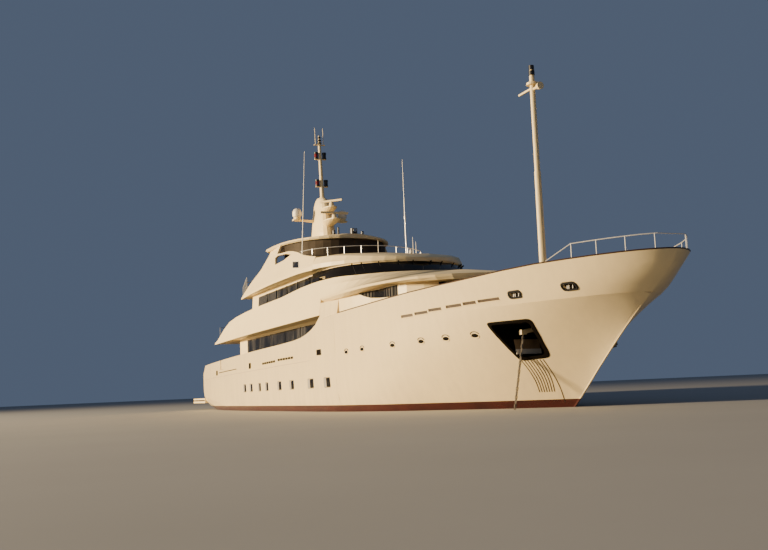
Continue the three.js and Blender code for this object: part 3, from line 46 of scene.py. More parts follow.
WALKWAY = 6.25
PLATFORM = 0.95
BOOT_TOP = 0.33
TEAK_THICK = 0.012
SHIP = "ship"


def place(x, y, z):
    """A ship-metre point in model metres."""
    return Vector((x * SCALE, y * SCALE, z * SCALE))


def between(rows, x):
    """Value at x on the straight lines through (x, value) rows."""
    if x <= rows[0][0]:
        return rows[0][1]
    for (x0, v0), (x1, v1) in zip(rows, rows[1:]):
        if x <= x1:
            return v0 + (v1 - v0) * (x - x0) / (x1 - x0)
    return rows[-1][1]


def steps(start, end, count):
    return [start + (end - start) * i / count for i in range(count + 1)]


# Shader helpers
def new_material(name):
    material = bpy.data.materials.new(name)
    material.use_nodes = True
    tree = material.node_tree
    shader = tree.nodes["Principled BSDF"]
    return material, tree, shader


def noise(tree, scale, stretch=(1, 1, 1), detail=4, roughness=0.55):
    coords = tree.nodes.new("ShaderNodeTexCoord")
    mapping = tree.nodes.new("ShaderNodeMapping")
    mapping.inputs["Scale"].default_value = stretch
    texture = tree.nodes.new("ShaderNodeTexNoise")
    texture.inputs["Scale"].default_value = scale
    texture.inputs["Detail"].default_value = detail
    texture.inputs["Roughness"].default_value = roughness
    tree.links.new(coords.outputs["Object"], mapping.inputs["Vector"])
    tree.links.new(mapping.outputs["Vector"], texture.inputs["Vector"])
    return texture.outputs["Fac"]


def ramp(tree, factor, stops):
    """A colour ramp; stops are (position, colour) rows."""
    node = tree.nodes.new("ShaderNodeValToRGB")
    elements = node.color_ramp.elements
    while len(elements) < len(stops):
        elements.new(0.5)
    for element, (position, colour) in zip(elements, stops):
        element.position = position
        element.color = (*colour, 1)
    tree.links.new(factor, node.inputs["Fac"])
    return node.outputs["Color"]


def mix(tree, factor, first, second, blend="MIX"):
    node = tree.nodes.new("ShaderNodeMix")
    node.data_type = "RGBA"
    node.blend_type = blend
    for socket, value in ((node.inputs[0], factor), (node.inputs[6], first), (node.inputs[7], second)):
        if isinstance(value, bpy.types.NodeSocket):
            tree.links.new(value, socket)
        elif isinstance(value, tuple):
            socket.default_value = (*value, 1)
        else:
            socket.default_value = value
    return node.outputs[2]


def height_mask(tree, low, high):
    """0 below the low height and 1 above the high one, in model metres."""
    coords = tree.nodes.new("ShaderNodeTexCoord")
    split = tree.nodes.new("ShaderNodeSeparateXYZ")
    span = tree.nodes.new("ShaderNodeMapRange")
    span.inputs["From Min"].default_value = low
    span.inputs["From Max"].default_value = high
    tree.links.new(coords.outputs["Object"], split.inputs["Vector"])
    tree.links.new(split.outputs["Z"], span.inputs["Value"])
    return span.outputs["Result"]


def bump(tree, shader, height, strength, distance):
    node = tree.nodes.new("ShaderNodeBump")
    node.inputs["Strength"].default_value = strength
    node.inputs["Distance"].default_value = distance
    tree.links.new(height, node.inputs["Height"])
    tree.links.new(node.outputs["Normal"], shader.inputs["Normal"])


def darker(colour, share):
    return tuple(value * share for value in colour)


def surface(name, colour, roughness, metallic=0.0, scale=3.0, stretch=(1, 1, 1), vary=0.86,
            grain=0.05, coat=0.0):
    """A plain surface with soft variation in tone and a fine grain."""
    material, tree, shader = new_material(name)
    tone = ramp(tree, noise(tree, scale, stretch), [(0.3, darker(colour, vary)), (0.7, colour)])
    tree.links.new(tone, shader.inputs["Base Color"])
    shader.inputs["Roughness"].default_value = roughness
    shader.inputs["Metallic"].default_value = metallic
    shader.inputs["Coat Weight"].default_value = coat
    bump(tree, shader, noise(tree, scale * 30, stretch), grain, 0.002)
    return material


# Materials; colours are linear red, green and blue
CREAM = (0.87, 0.71, 0.40)
WARM_SHADE = (0.76, 0.61, 0.37)
RED = (0.065, 0.012, 0.008)


def hull_paint():
    """Gloss cream paint with faint plate waves and run marks, above a dark red boot-top."""
    material, tree, shader = new_material("hull_paint")
    broad = ramp(tree, noise(tree, 0.5, (1, 1, 2)), [(0.3, WARM_SHADE), (0.75, CREAM)])
    streaks = ramp(tree, noise(tree, 2.2, (3, 3, 0.16), 6), [(0.42, darker(CREAM, 0.93)), (0.62, CREAM)])
    cream = mix(tree, 0.45, broad, streaks)
    # Darker in patches towards the waterline
    low_patches = ramp(tree, noise(tree, 1.6, (2.5, 2.5, 0.5), 6), [(0.35, (0.62, 0.5, 0.33)), (0.65, CREAM)])
    low = height_mask(tree, 0.2, 0.85)
    cream_darker_low = mix(tree, low, mix(tree, 0.35, cream, low_patches), cream)
    red = ramp(tree, noise(tree, 2.0, (1, 1, 3), 6), [(0.3, darker(RED, 0.55)), (0.7, RED)])
    line = height_mask(tree, BOOT_TOP * SCALE - 0.003, BOOT_TOP * SCALE + 0.003)
    tree.links.new(mix(tree, line, red, cream_darker_low), shader.inputs["Base Color"])
    shader.inputs["Roughness"].default_value = 0.26
    shader.inputs["Coat Weight"].default_value = 0.25
    bump(tree, shader, noise(tree, 0.9, (1, 1, 1.5), 2), 0.12, 0.02)
    return material


def window_glass():
    """Near-black glass with pale curtains behind it; the stripes of their folds are painted shade."""
    material, tree, shader = new_material("window_glass")
    coords = tree.nodes.new("ShaderNodeTexCoord")
    wave = tree.nodes.new("ShaderNodeTexWave")
    wave.wave_type = "BANDS"
    wave.bands_direction = "X"
    wave.inputs["Scale"].default_value = 2.4
    wave.inputs["Distortion"].default_value = 1.6
    wave.inputs["Detail"].default_value = 2
    tree.links.new(coords.outputs["Object"], wave.inputs["Vector"])
    # Pale curtain cloth, striped with painted shade in its folds
    pleat_shading = ramp(tree, wave.outputs["Fac"], [(0.35, (0.010, 0.010, 0.011)), (0.8, (0.10, 0.095, 0.088))])
    hung = ramp(tree, noise(tree, 1.3, (1, 1, 0.3), 2), [(0.42, (0, 0, 0)), (0.6, (1, 1, 1))])
    tree.links.new(mix(tree, hung, (0.010, 0.010, 0.011), pleat_shading), shader.inputs["Base Color"])
    shader.inputs["Roughness"].default_value = 0.12
    shader.inputs["Specular IOR Level"].default_value = 0.14
    bump(tree, shader, noise(tree, 1.5), 0.04, 0.01)
    return material


def planked(name, colour, pitch):
    """Teak planks with dark caulking lines along the ship."""
    material, tree, shader = new_material(name)
    coords = tree.nodes.new("ShaderNodeTexCoord")
    bricks = tree.nodes.new("ShaderNodeTexBrick")
    bricks.inputs["Scale"].default_value = 1.0
    bricks.inputs["Brick Width"].default_value = 1.1
    bricks.inputs["Row Height"].default_value = pitch
    bricks.inputs["Mortar Size"].default_value = pitch * 0.07
    bricks.inputs["Color1"].default_value = (*colour, 1)
    bricks.inputs["Color2"].default_value = (*darker(colour, 0.8), 1)
    bricks.inputs["Mortar"].default_value = (0.03, 0.026, 0.022, 1)
    tree.links.new(coords.outputs["Object"], bricks.inputs["Vector"])
    grain = ramp(tree, noise(tree, 9, (0.6, 12, 1), 6), [(0.3, (0.72, 0.72, 0.72)), (0.7, (1, 1, 1))])
    tree.links.new(mix(tree, 1.0, bricks.outputs["Color"], grain, "MULTIPLY"), shader.inputs["Base Color"])
    shader.inputs["Roughness"].default_value = 0.7
    bump(tree, shader, bricks.outputs["Fac"], 0.15, 0.003)
    return material


def varnished_wood():
    material, tree, shader = new_material("varnished_wood")
    grain = noise(tree, 6, (1, 9, 9), 6)
    stops = [(0.3, (0.022, 0.010, 0.007)), (0.7, (0.06, 0.026, 0.015))]
    tree.links.new(ramp(tree, grain, stops), shader.inputs["Base Color"])
    shader.inputs["Roughness"].default_value = 0.3
    shader.inputs["Coat Weight"].default_value = 0.5
    bump(tree, shader, grain, 0.1, 0.002)
    return material


HULL = hull_paint()
PAINT = surface("house_paint", CREAM, 0.45, scale=0.8, stretch=(1, 1, 2), vary=0.94, grain=0.02)
MOULDING = surface("moulding", (0.52, 0.40, 0.31), 0.4, scale=2, vary=0.85)
# Colour of a cream window recess wall in painted shade
REVEAL = surface("window_reveal", (0.40, 0.36, 0.31), 0.4, scale=2, vary=0.8)
GLASS = window_glass()
# Dark glass; the same near-black is also painted shade on the wheelhouse door jambs
DARK_GLASS_AND_SHADE = surface("dark_glass_and_jamb_shade", (0.012, 0.011, 0.011), 0.1, scale=1.5, vary=0.5, grain=0.0)
TINTED = surface("tinted_screen", (0.10, 0.08, 0.06), 0.6, scale=1.2, vary=0.35, grain=0.0)
# Near-black painted shade, put in openings, anchor pockets and under the wheelhouse roof
SHADE_BLACK = surface("painted_shade_black", (0.010, 0.0075, 0.0055), 0.6, scale=2.0, vary=0.5)
for dull, share in ((DARK_GLASS_AND_SHADE, 0.14), (TINTED, 0.05), (SHADE_BLACK, 0.03)):
    dull.node_tree.nodes["Principled BSDF"].inputs["Specular IOR Level"].default_value = share
# Dark brown painted shade in the freeing slots
SLOT_SHADE = surface("freeing_slot_painted_shade", (0.11, 0.08, 0.06), 0.5, scale=3.0, vary=0.5)
TEAK = planked("teak", (0.36, 0.235, 0.135), 0.05)
WOOD = varnished_wood()
STEEL = surface("polished_steel", (0.50, 0.51, 0.53), 0.35, metallic=1.0, scale=6, vary=0.85, grain=0.03)
BRONZE = surface("bronze", (0.62, 0.44, 0.2), 0.3, metallic=1.0, scale=6, vary=0.75)
IRON = surface("galvanised_iron", (0.30, 0.26, 0.21), 0.55, metallic=0.7, scale=12, vary=0.45, grain=0.3)
BOTTOM = surface("antifouling", RED, 0.6, scale=2.5, vary=0.6, grain=0.2)
WHITE = surface("white_moulding", (0.86, 0.80, 0.68), 0.3, scale=3, vary=0.93, coat=0.2)
DULL_STEEL = surface("dull_steel", (0.26, 0.26, 0.26), 0.6, scale=5, vary=0.9, grain=0.0)
RAIL = surface("rail_steel", (0.86, 0.84, 0.80), 0.38, metallic=0.55, scale=5, vary=0.92, grain=0.0)
RUST = surface("hawse_plate", (0.45, 0.30, 0.16), 0.5, scale=5, stretch=(1, 1, 0.4), vary=0.45, grain=0.2)
# Red of the mast lenses; also a painted reflection along the foot of the wheelhouse glass
RED_LENS_AND_REFLECTION = surface("red_lens", (0.20, 0.012, 0.01), 0.15, scale=8, vary=0.6)
LAMP_DARK = surface("lamp_housing", (0.02, 0.02, 0.022), 0.35, scale=8, vary=0.6)

# Finish of each CAD node by the start of its name; the last match wins, and the rest are house paint
LOOKS = {
    "hull": HULL, "bulwark_": HULL, "boarding_gate": HULL, "cap_rail": WOOD, "sun_deck_screen": TINTED,
    "saloon_door": GLASS, "upper_saloon_door": GLASS, "satcom_dome": WHITE, "whip_aerial": WHITE,
    "bow_rail": RAIL, "sun_deck_rail": RAIL, "wheelhouse_door": PAINT, "windlass": STEEL,
    "anchor": IRON, "propeller": BRONZE, "thruster": BRONZE, "shaft_line": STEEL, "rudder": BOTTOM,
    "stabiliser": BOTTOM,
}

# Even shading of the bow: where it starts, how far it reaches, how close its samples lie, in ship
# metres, and the angle at which an edge stays an edge
EVEN = {"from_x": 9.0, "radius": 0.55, "pitch": 0.3, "edge": math.radians(24)}


def face_samples(mesh):
    """Points spread over the bow's faces, each with its face's normal."""
    spots = []
    for face in mesh.polygons:
        if face.center.x < EVEN["from_x"] * SCALE:
            continue
        a, b, c = (mesh.vertices[i].co for i in face.vertices)
        longest = max((a - b).length, (b - c).length, (c - a).length)
        count = max(1, math.ceil(longest / (EVEN["pitch"] * SCALE)))
        share = face.area / (count * (count + 1) / 2)
        for i in range(count):
            for j in range(count - i):
                u, v = (i + 1 / 3) / count, (j + 1 / 3) / count
                spots.append((a + (b - a) * u + (c - a) * v, face.normal.copy(), share))
    return spots


def even_shading(mesh):
    """Shades the bow's long narrow faces as the smooth plating they stand for; no vertex moves."""
    spots = face_samples(mesh)
    tree = KDTree(len(spots))
    for i, (point, _, _) in enumerate(spots):
        tree.insert(point, i)
    tree.balance()
    flat = math.cos(EVEN["edge"])
    normals = []
    for face in mesh.polygons:
        for k in face.loop_indices:
            point = mesh.vertices[mesh.loops[k].vertex_index].co
            total = mesh.corner_normals[k].vector.copy()
            if point.x > EVEN["from_x"] * SCALE:
                total *= 0.001
                for _, i, away in tree.find_range(point, EVEN["radius"] * SCALE):
                    _, normal, share = spots[i]
                    if normal.dot(face.normal) > flat:
                        total += normal * (share * (1.001 - away / (EVEN["radius"] * SCALE)))
            normals.append(total.normalized())
    mesh.normals_split_custom_set(normals)


def dress_frame():
    """Gives each CAD node its finish and a smooth skin that keeps its real edges."""
    for name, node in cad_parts.items():
        found = [look for prefix, look in LOOKS.items() if name.startswith(prefix)]
        node.data.materials.clear()
        node.data.materials.append(found[-1] if found else PAINT)
        node.data.polygons.foreach_set("use_smooth", [True] * len(node.data.polygons))
        node.data.set_sharp_from_angle(angle=math.radians(28))
    for name in ("hull", "bulwark_bow"):
        even_shading(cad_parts[name].data)


# Mesh helpers
def build(name, points, faces, material, body=SHIP, smooth=False):
    """A mesh from ship-metre points that rides on a CAD body."""
    mesh = bpy.data.meshes.new(name)
    mesh.from_pydata([place(*p) for p in points], [], faces)
    mesh.update()
    if smooth:
        mesh.polygons.foreach_set("use_smooth", [True] * len(mesh.polygons))
        mesh.set_sharp_from_angle(angle=math.radians(40))
    mesh.materials.append(material)
    piece = bpy.data.objects.new(name, mesh)
    bpy.context.collection.objects.link(piece)
    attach(piece, body)


def combined(name, parts, material, body=SHIP, smooth=False):
    """One mesh from several (points, faces) parts."""
    points, faces = [], []
    for part_points, part_faces in parts:
        start = len(points)
        points += part_points
        faces += [[start + i for i in face] for face in part_faces]
    build(name, points, faces, material, body, smooth)


def box_part(x0, x1, y0, y1, z0, z1):
    points = [(x, y, z) for x in (x0, x1) for y in (y0, y1) for z in (z0, z1)]
    faces = [[0, 1, 3, 2], [4, 6, 7, 5], [0, 4, 5, 1], [2, 3, 7, 6], [0, 2, 6, 4], [1, 5, 7, 3]]
    return points, faces


def tube_part(line, radius, sides, end_radius=None):
    """A round bar along a line of points."""
    vectors = [Vector(p) for p in line]
    points, faces = [], []
    last = len(vectors) - 1
    for i, p in enumerate(vectors):
        along = (vectors[min(i + 1, last)] - vectors[max(i - 1, 0)]).normalized()
        across = along.cross(Vector((0, 0, 1)) if abs(along.z) < 0.9 else Vector((1, 0, 0))).normalized()
        up = along.cross(across)
        r = radius if end_radius is None else radius + (end_radius - radius) * i / last
        for k in range(sides):
            a = 2 * math.pi * k / sides
            points.append(tuple(p + across * (r * math.cos(a)) + up * (r * math.sin(a))))
    for i in range(last):
        for k in range(sides):
            n = (k + 1) % sides
            faces.append([i * sides + k, i * sides + n, (i + 1) * sides + n, (i + 1) * sides + k])
    faces.append(list(range(sides))[::-1])
    faces.append([last * sides + k for k in range(sides)])
    return points, faces


def slab_part(columns, thick, outward):
    """A bent sheet from columns of points, thickened along outward(point)."""
    rows = len(columns[0])
    inner = [p for column in columns for p in column]
    outer = [tuple(Vector(p) + Vector(outward(p)) * thick) for p in inner]
    count = len(inner)
    faces = []
    for i in range(len(columns) - 1):
        for j in range(rows - 1):
            a, b, c, d = i * rows + j, (i + 1) * rows + j, (i + 1) * rows + j + 1, i * rows + j + 1
            faces += [[a, b, c, d], [count + d, count + c, count + b, count + a]]
    border = [i * rows for i in range(len(columns))]
    border += [(len(columns) - 1) * rows + j for j in range(1, rows)]
    border += [i * rows + rows - 1 for i in range(len(columns) - 2, -1, -1)]
    border += [j for j in range(rows - 2, 0, -1)]
    for a, b in zip(border, border[1:] + border[:1]):
        faces.append([b, a, count + a, count + b])
    return inner + outer, faces


# Where rays start, clear of the ship: beside it, above it and ahead of it
BESIDE, ABOVE, AHEAD = 9, 20, 30


class Skin:
    """The surface of some CAD nodes, on which details are laid."""

    def __init__(self, *names):
        self.trees = []
        for name in names:
            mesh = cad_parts[name].data
            corners = [v.co.copy() for v in mesh.vertices]
            self.trees.append(BVHTree.FromPolygons(corners, [tuple(p.vertices) for p in mesh.polygons]))

    def ray(self, start, towards):
        """Nearest hit from a ship-metre point, as (point, normal) in ship metres."""
        best = None
        for tree in self.trees:
            spot, normal, _, distance = tree.ray_cast(place(*start), Vector(towards).normalized())
            if spot is not None and (best is None or distance < best[2]):
                best = (spot / SCALE, normal, distance)
        return best

    def side(self, x, z, side):
        return self.ray((x, side * BESIDE, z), (0, -side, 0))

    def top(self, x, y):
        return self.ray((x, y, ABOVE), (0, 0, -1))

    def front(self, y, z):
        return self.ray((AHEAD, y, z), (-1, 0, 0))


hull_skin = Skin("hull", "bulwark_bow", "bulwark_side_starboard", "bulwark_side_port")


def outward_of(normal, side):
    """The normal turned to point away from the ship."""
    return normal if normal.y * side > 0 else -normal


def patch(skin, outline, side, lift, thick=0.006):
    """A thin plate on a ship's side: outline is (x, z) points, laid on the skin as a fan."""
    spots = []
    for x, z in outline:
        hit = skin.side(x, z, side)
        if hit is None:
            return None
        spots.append(hit)
    middle = (sum(x for x, _ in outline) / len(outline), sum(z for _, z in outline) / len(outline))
    hit = skin.side(*middle, side)
    if hit is None:
        return None
    spots.append(hit)
    count = len(spots)
    low = [tuple(p + outward_of(n, side) * lift) for p, n, _ in spots]
    high = [tuple(p + outward_of(n, side) * (lift + thick)) for p, n, _ in spots]
    faces = []
    for i in range(count - 1):
        j = (i + 1) % (count - 1)
        faces += [[i, j, count - 1], [count + j, count + i, 2 * count - 1], [j, i, count + i, count + j]]
    return low + high, faces


def rim(skin, outline, side, radius):
    """A round rim laid on a skin along a closed (x, z) outline."""
    line = []
    for x, z in list(outline) + [outline[0], outline[1]]:
        hit = skin.side(x, z, side)
        if hit is None:
            return None
        line.append(tuple(hit[0]))
    return tube_part(line, radius, 6)


def ellipse(x, z, rx, rz, count=14):
    turns = [2 * math.pi * i / count for i in range(count)]
    return [(x + rx * math.cos(a), z + rz * math.sin(a)) for a in turns]


def rounded_box(x0, x1, z0, z1, corner, count=3):
    """A box outline with round corners, in the ship's side."""
    outline = []
    for cx, cz, start in ((x1 - corner, z1 - corner, 0), (x0 + corner, z1 - corner, 90),
                          (x0 + corner, z0 + corner, 180), (x1 - corner, z0 + corner, 270)):
        for i in range(count + 1):
            a = math.radians(start + 90 * i / count)
            outline.append((cx + corner * math.cos(a), cz + corner * math.sin(a)))
    return outline


def kept(parts):
    """The parts whose outline met the skin all round."""
    return [part for part in parts if part is not None]


# Hull openings: round ports, square windows, vents, slots and fairleads
# Columns: x, z
PORTS = [(10.55, 2.97), (12.31, 3.01), (15.13, 3.02), (17.26, 3.05), (18.82, 3.06), (20.41, 3.07)]
# Half sizes of a port's glass, of the pale lip under it and of the dark arc over it, painted shade under its
# brow
PORT_GLASS, PORT_LIP, PORT_BROW_SHADE = (0.17, 0.08), (0.2, 0.11), (0.22, 0.13)
# Columns: aft x, forward x
SQUARE_WINDOWS = [
    (-8.8, -8.08), (-7.08, -6.39), (-4.97, -4.38), (-3.33, -2.71), (-0.71, 0.06), (1.7, 2.49),
    (4.98, 5.88), (7.5, 8.32),
]
WINDOW_LOW, WINDOW_HIGH, REVEAL_SHARE = 1.29, 1.77, 0.38
# Rows of short vents; columns: aft x, forward x, z aft, z forward, number of vents
VENT_ROWS = [(-3.86, -0.96, 3.01, 3.05, 6), (-0.48, 2.63, 3.09, 3.1, 6)]
# How much of its pitch a vent fills, and its half height
VENT_SHARE, VENT_HALF = 0.76, 0.065
# Columns: aft x, forward x, z aft, z forward, height
SLITS = [
    (-16.62, -10.68, 2.85, 2.93, 0.05), (-7.16, -6.68, 3.0, 3.0, 0.38), (-17.7, -17.18, 2.86, 2.86, 0.36),
]
# The small square opening amidships: aft x, forward x, low z, high z, and its rim
SQUARE_OPENING = (6.58, 7.26, 3.03, 3.29)
SQUARE_RIM = (6.57, 7.27, 3.02, 3.3)
# Columns: aft x, forward x, middle z
FREEING = [
    (16.13, 17.04, 4.24), (17.18, 18.13, 4.27), (18.21, 19.08, 4.32), (19.39, 20.35, 4.35),
    (20.45, 21.18, 4.37), (21.3, 22.44, 4.385),
]
FREEING_HALF = 0.06
# Columns: aft x, forward x, low z, high z
FAIRLEADS = [(22.98, 23.46, 4.38, 4.53), (25.33, 25.78, 4.42, 4.58)]
FAIRLEAD_EDGE = 0.04


def skin_line(points, side, lift):
    """Points of a side, given as (x, z), laid on the hull and lifted off it."""
    hits = [hull_skin.side(x, z, side) for x, z in points]
    return [tuple(p + outward_of(n, side) * lift) for p, n, _ in kept(hits)]


def arc(x, z, rx, rz, start, end, count=10):
    turns = [math.radians(a) for a in steps(start, end, count)]
    return [(x + rx * math.cos(a), z + rz * math.sin(a)) for a in turns]


def flap(x0, x1, low, high, side, depth):
    """A plate that closes an opening through the bulwark, set back from its face; its dark colour is painted
    shade in the opening.
    """
    columns = []
    for x in steps(x0, x1, 4):
        below, above = hull_skin.side(x, low - 0.05, side)[0], hull_skin.side(x, high + 0.05, side)[0]
        columns.append([(x, below.y - side * depth, low - 0.02), (x, above.y - side * depth, high + 0.02)])
    return slab_part(columns, 0.01, lambda p: (0, side, 0))


def port_light(x, z, side):
    """Dark glass, the pale lip under it and, over it, a dark arc of painted shade under its brow."""
    glass = patch(hull_skin, ellipse(x, z, *PORT_GLASS), side, 0.003)
    lip = tube_part(skin_line(arc(x, z - 0.01, *PORT_LIP, 180, 360), side, 0.0), 0.022, 6)
    brow_shade = tube_part(skin_line(arc(x + 0.02, z + 0.03, *PORT_BROW_SHADE, 10, 165), side, 0.01), 0.014, 6)
    return glass, lip, brow_shade


def side_windows(side):
    """Square windows, each a dark pane with the pale after reveal of its recess; the reveal is painted flat
    on the side, in the colour of its wall in painted shade.
    """
    panes, reveals, edges = [], [], []
    for x0, x1 in SQUARE_WINDOWS:
        split = x0 + (x1 - x0) * REVEAL_SHARE
        panes.append(patch(hull_skin, rounded_box(split, x1, WINDOW_LOW, WINDOW_HIGH, 0.06), side, 0.003))
        reveals.append(patch(hull_skin, rounded_box(x0, split, WINDOW_LOW, WINDOW_HIGH, 0.06), side, 0.003))
        outline = rounded_box(x0 - 0.02, x1 + 0.02, WINDOW_LOW - 0.02, WINDOW_HIGH + 0.02, 0.08)
        edges.append(rim(hull_skin, outline, side, 0.012))
    return panes, reveals, edges


def vents(side):
    outlines = []
    for x0, x1, z0, z1, count in VENT_ROWS:
        pitch = (x1 - x0) / count
        for i in range(count):
            x, z = x0 + i * pitch, z0 + (z1 - z0) * i / count
            outlines.append(rounded_box(x, x + VENT_SHARE * pitch, z - VENT_HALF, z + VENT_HALF, 0.02, 2))
    for x0, x1, z0, z1, high in SLITS:
        count = max(round((x1 - x0) / 0.5), 1)
        low = [(x, z0 + (z1 - z0) * (x - x0) / (x1 - x0) - high / 2) for x in steps(x0, x1, count)]
        outlines.append(low + [(x, z + high) for x, z in reversed(low)])
    outlines.append(rounded_box(*SQUARE_OPENING, 0.04, 2))
    # Each outline becomes a near-black patch: painted shade inside the opening
    return [patch(hull_skin, outline, side, 0.012) for outline in outlines]


def hull_openings():
    dark, lips, glass, reveals, rims, rollers, flaps = [], [], [], [], [], [], []
    for side in SIDES:
        for x, z in PORTS:
            pane, lip, brow_shade = port_light(x, z, side)
            glass.append(pane)
            lips.append(lip)
            dark.append(brow_shade)
        panes, pale, edges = side_windows(side)
        glass += panes
        reveals += pale
        rims += edges
        dark += vents(side)
        rims.append(rim(hull_skin, rounded_box(*SQUARE_RIM, 0.05), side, 0.02))
        for x0, x1, z in FREEING:
            # A dark plate of painted shade in each freeing slot
            flaps.append(flap(x0, x1, z - FREEING_HALF, z + FREEING_HALF, side, 0.05))
            foot = skin_line([(x, z - FREEING_HALF - 0.015) for x in steps(x0, x1, 3)], side, 0.004)
            lips.append(tube_part(foot, 0.014, 6))
        for x0, x1, z0, z1 in FAIRLEADS:
            # A near-black plate set back in the fairlead: painted shade in its opening
            dark.append(flap(x0, x1, z0, z1, side, 0.12))
            edge = FAIRLEAD_EDGE
            outline = rounded_box(x0 - edge, x1 + edge, z0 - edge, z1 + edge, 0.08)
            rims.append(rim(hull_skin, outline, side, 0.05))
            for x in (x0 + 0.16, (x0 + x1) / 2, x1 - 0.08):
                y = hull_skin.side(x, z1 + 0.05, side)[0].y - side * 0.08
                rollers.append(tube_part([(x, y, z0 - 0.01), (x, y, z1 - 0.04)], 0.02, 8))
    # Painted shade: the ports' brows, the vents, the slots and the fairleads
    combined("hull_painted_shade_openings", kept(dark), SHADE_BLACK)
    combined("hull_window_panes", kept(glass), DARK_GLASS_AND_SHADE)
    combined("hull_window_reveals_painted_shade", kept(reveals), REVEAL)
    combined("hull_opening_lips", kept(lips), PAINT, smooth=True)
    combined("hull_opening_rims", kept(rims), LAMP_DARK, smooth=True)
    combined("fairlead_rollers", rollers, WHITE, smooth=True)
    combined("freeing_slot_painted_shades", flaps, SLOT_SHADE)


# Anchor pockets: a lining and rim of near-black painted shade, the hawse plate and the chafing ribs below
# Corners and middle as x and z, the half-breadth of the back, and how far the after wall comes
# forward for each metre down
POCKET = [(21.31, 3.47), (23.16, 3.47), (22.78, 2.06), (21.69, 1.99)]
POCKET_MIDDLE = (22.24, 2.75)
POCKET_BACK = 0.95
AFTER_WALL_SLOPE = 0.257
HAWSE_PLATE_HALVES = (1.02, 1.6, 2.2)


def rounded_outline(corners, cut, count=3):
    """A polygon with its corners rounded off and points along its sides."""
    outline = []
    for i, corner in enumerate(corners):
        here, following = Vector(corner), Vector(corners[(i + 1) % len(corners)])
        start = here + (Vector(corners[i - 1]) - here).normalized() * cut
        end = here + (following - here).normalized() * cut
        for t in steps(0, 1, count):
            outline.append(tuple(start * (1 - t) ** 2 + here * (2 * t * (1 - t)) + end * t ** 2))
        stop = following + (here - following).normalized() * cut
        for t in steps(0, 1, 8)[1:-1]:
            outline.append(tuple(end.lerp(stop, t)))
    return outline


def pocket_lining(side):
    """Walls just inside the pocket, a back, and a flat frame round its mouth, all of them near-black painted
    shade.
    """
    cx, cz = POCKET_MIDDLE

    def scaled(share_x, share_z, cut):
        return rounded_outline([(cx + (x - cx) * share_x, cz + (z - cz) * share_z) for x, z in POCKET], cut)

    ring, wide = scaled(0.91, 0.91, 0.16), scaled(1.1, 1.08, 0.2)
    frame_ring = skin_line(wide, side, 0.012)
    middle = [(w[0] * 0.8 + r[0] * 0.2, w[1] * 0.8 + r[1] * 0.2) for w, r in zip(wide, ring)]
    edge = skin_line(middle, side, 0.02)
    mouth = [(x, e[1] + (e[1] - f[1]) * 4, z) for (x, z), e, f in zip(ring, edge, frame_ring)]
    back = [(x, side * (POCKET_BACK + 0.02), z) for x, z in ring]
    count = len(ring)
    points = frame_ring + edge + mouth + back
    faces = [[3 * count + i for i in range(count)]]
    for i in range(count):
        j = (i + 1) % count
        for level in (0, count, 2 * count):
            faces.append([level + i, level + j, level + count + j, level + count + i])
    return points, faces


# Chafing ribs fan out below the pocket: top x and foot x of the first, and the pitches
RIBS = {"count": 8, "top_x": 21.68, "top_pitch": 0.115, "foot_x": 21.47, "foot_pitch": 0.09}
RIB_TOP, RIB_FOOT, LAST_RIB_FOOT = 1.95, 0.65, 0.21


def chafing_ribs(side):
    parts = []
    for i in range(RIBS["count"]):
        foot = LAST_RIB_FOOT if i == RIBS["count"] - 1 else RIB_FOOT
        top_x = RIBS["top_x"] + RIBS["top_pitch"] * i
        foot_x = RIBS["foot_x"] + RIBS["foot_pitch"] * i
        line = []
        for t in steps(0, 1, 8):
            x = top_x + (foot_x - top_x) * t + 0.09 * math.sin(math.pi * t)
            line.append((x, RIB_TOP + (foot - RIB_TOP) * t))
        parts.append(tube_part(skin_line(line, side, 0.0), 0.016, 6))
    return parts


def hawse_plate(side, low, high, thick):
    """A plate on the pocket's after wall, where the chain chafes."""
    top_x, top_z = POCKET[0]
    columns = []
    for y in HAWSE_PLATE_HALVES:
        columns.append([(top_x + (top_z - z) * AFTER_WALL_SLOPE + 0.05, side * y, z) for z in (low, high)])
    return slab_part(columns, thick, lambda p: (1, 0, 0.26))


def anchor_recess():
    linings, ribs, plates, pale = [], [], [], []
    for side in SIDES:
        linings.append(pocket_lining(side))
        ribs += chafing_ribs(side)
        plates.append(hawse_plate(side, 2.4, 2.8, 0.03))
        pale.append(hawse_plate(side, 2.2, 2.4, 0.05))
    # Linings of near-black painted shade
    combined("anchor_pocket_painted_shade", linings, SHADE_BLACK)
    combined("chafing_ribs", ribs, WOOD, smooth=True)
    combined("hawse_plates", plates, RUST)
    combined("hawse_lips", pale, WHITE)


# House windows
def wall_band(name, rows, skin, material, lift=0.012, thick=0.02):
    """Glass laid on a house side: rows of (x, low z, high z), both sides."""
    parts = []
    for side in SIDES:
        columns = []
        for x, low, high in rows:
            column = []
            for z in steps(low, high, 3):
                hit = skin.side(x, z, side)
                column.append(tuple(hit[0] + Vector((0, side, 0)) * lift))
            columns.append(column)
        parts.append(slab_part(columns, thick, lambda p, s=side: (0, s, 0)))
    combined(name, parts, material)


def mullions(name, xs, low, high, skin, width, depth):
    """Dark upright bars over a band of house windows."""
    parts = []
    for side in SIDES:
        for x in xs:
            y = skin.side(x, low, side)[0].y
            ys = sorted((y, y + side * depth))
            parts.append(box_part(x - width / 2, x + width / 2, *ys, low, high))
    combined(name, parts, LAMP_DARK)


# Sills and heads of the window bands
MAIN_LOW, MAIN_HIGH = 3.85, 4.98
UPPER_LOW, UPPER_HIGH = 5.95, 7.8


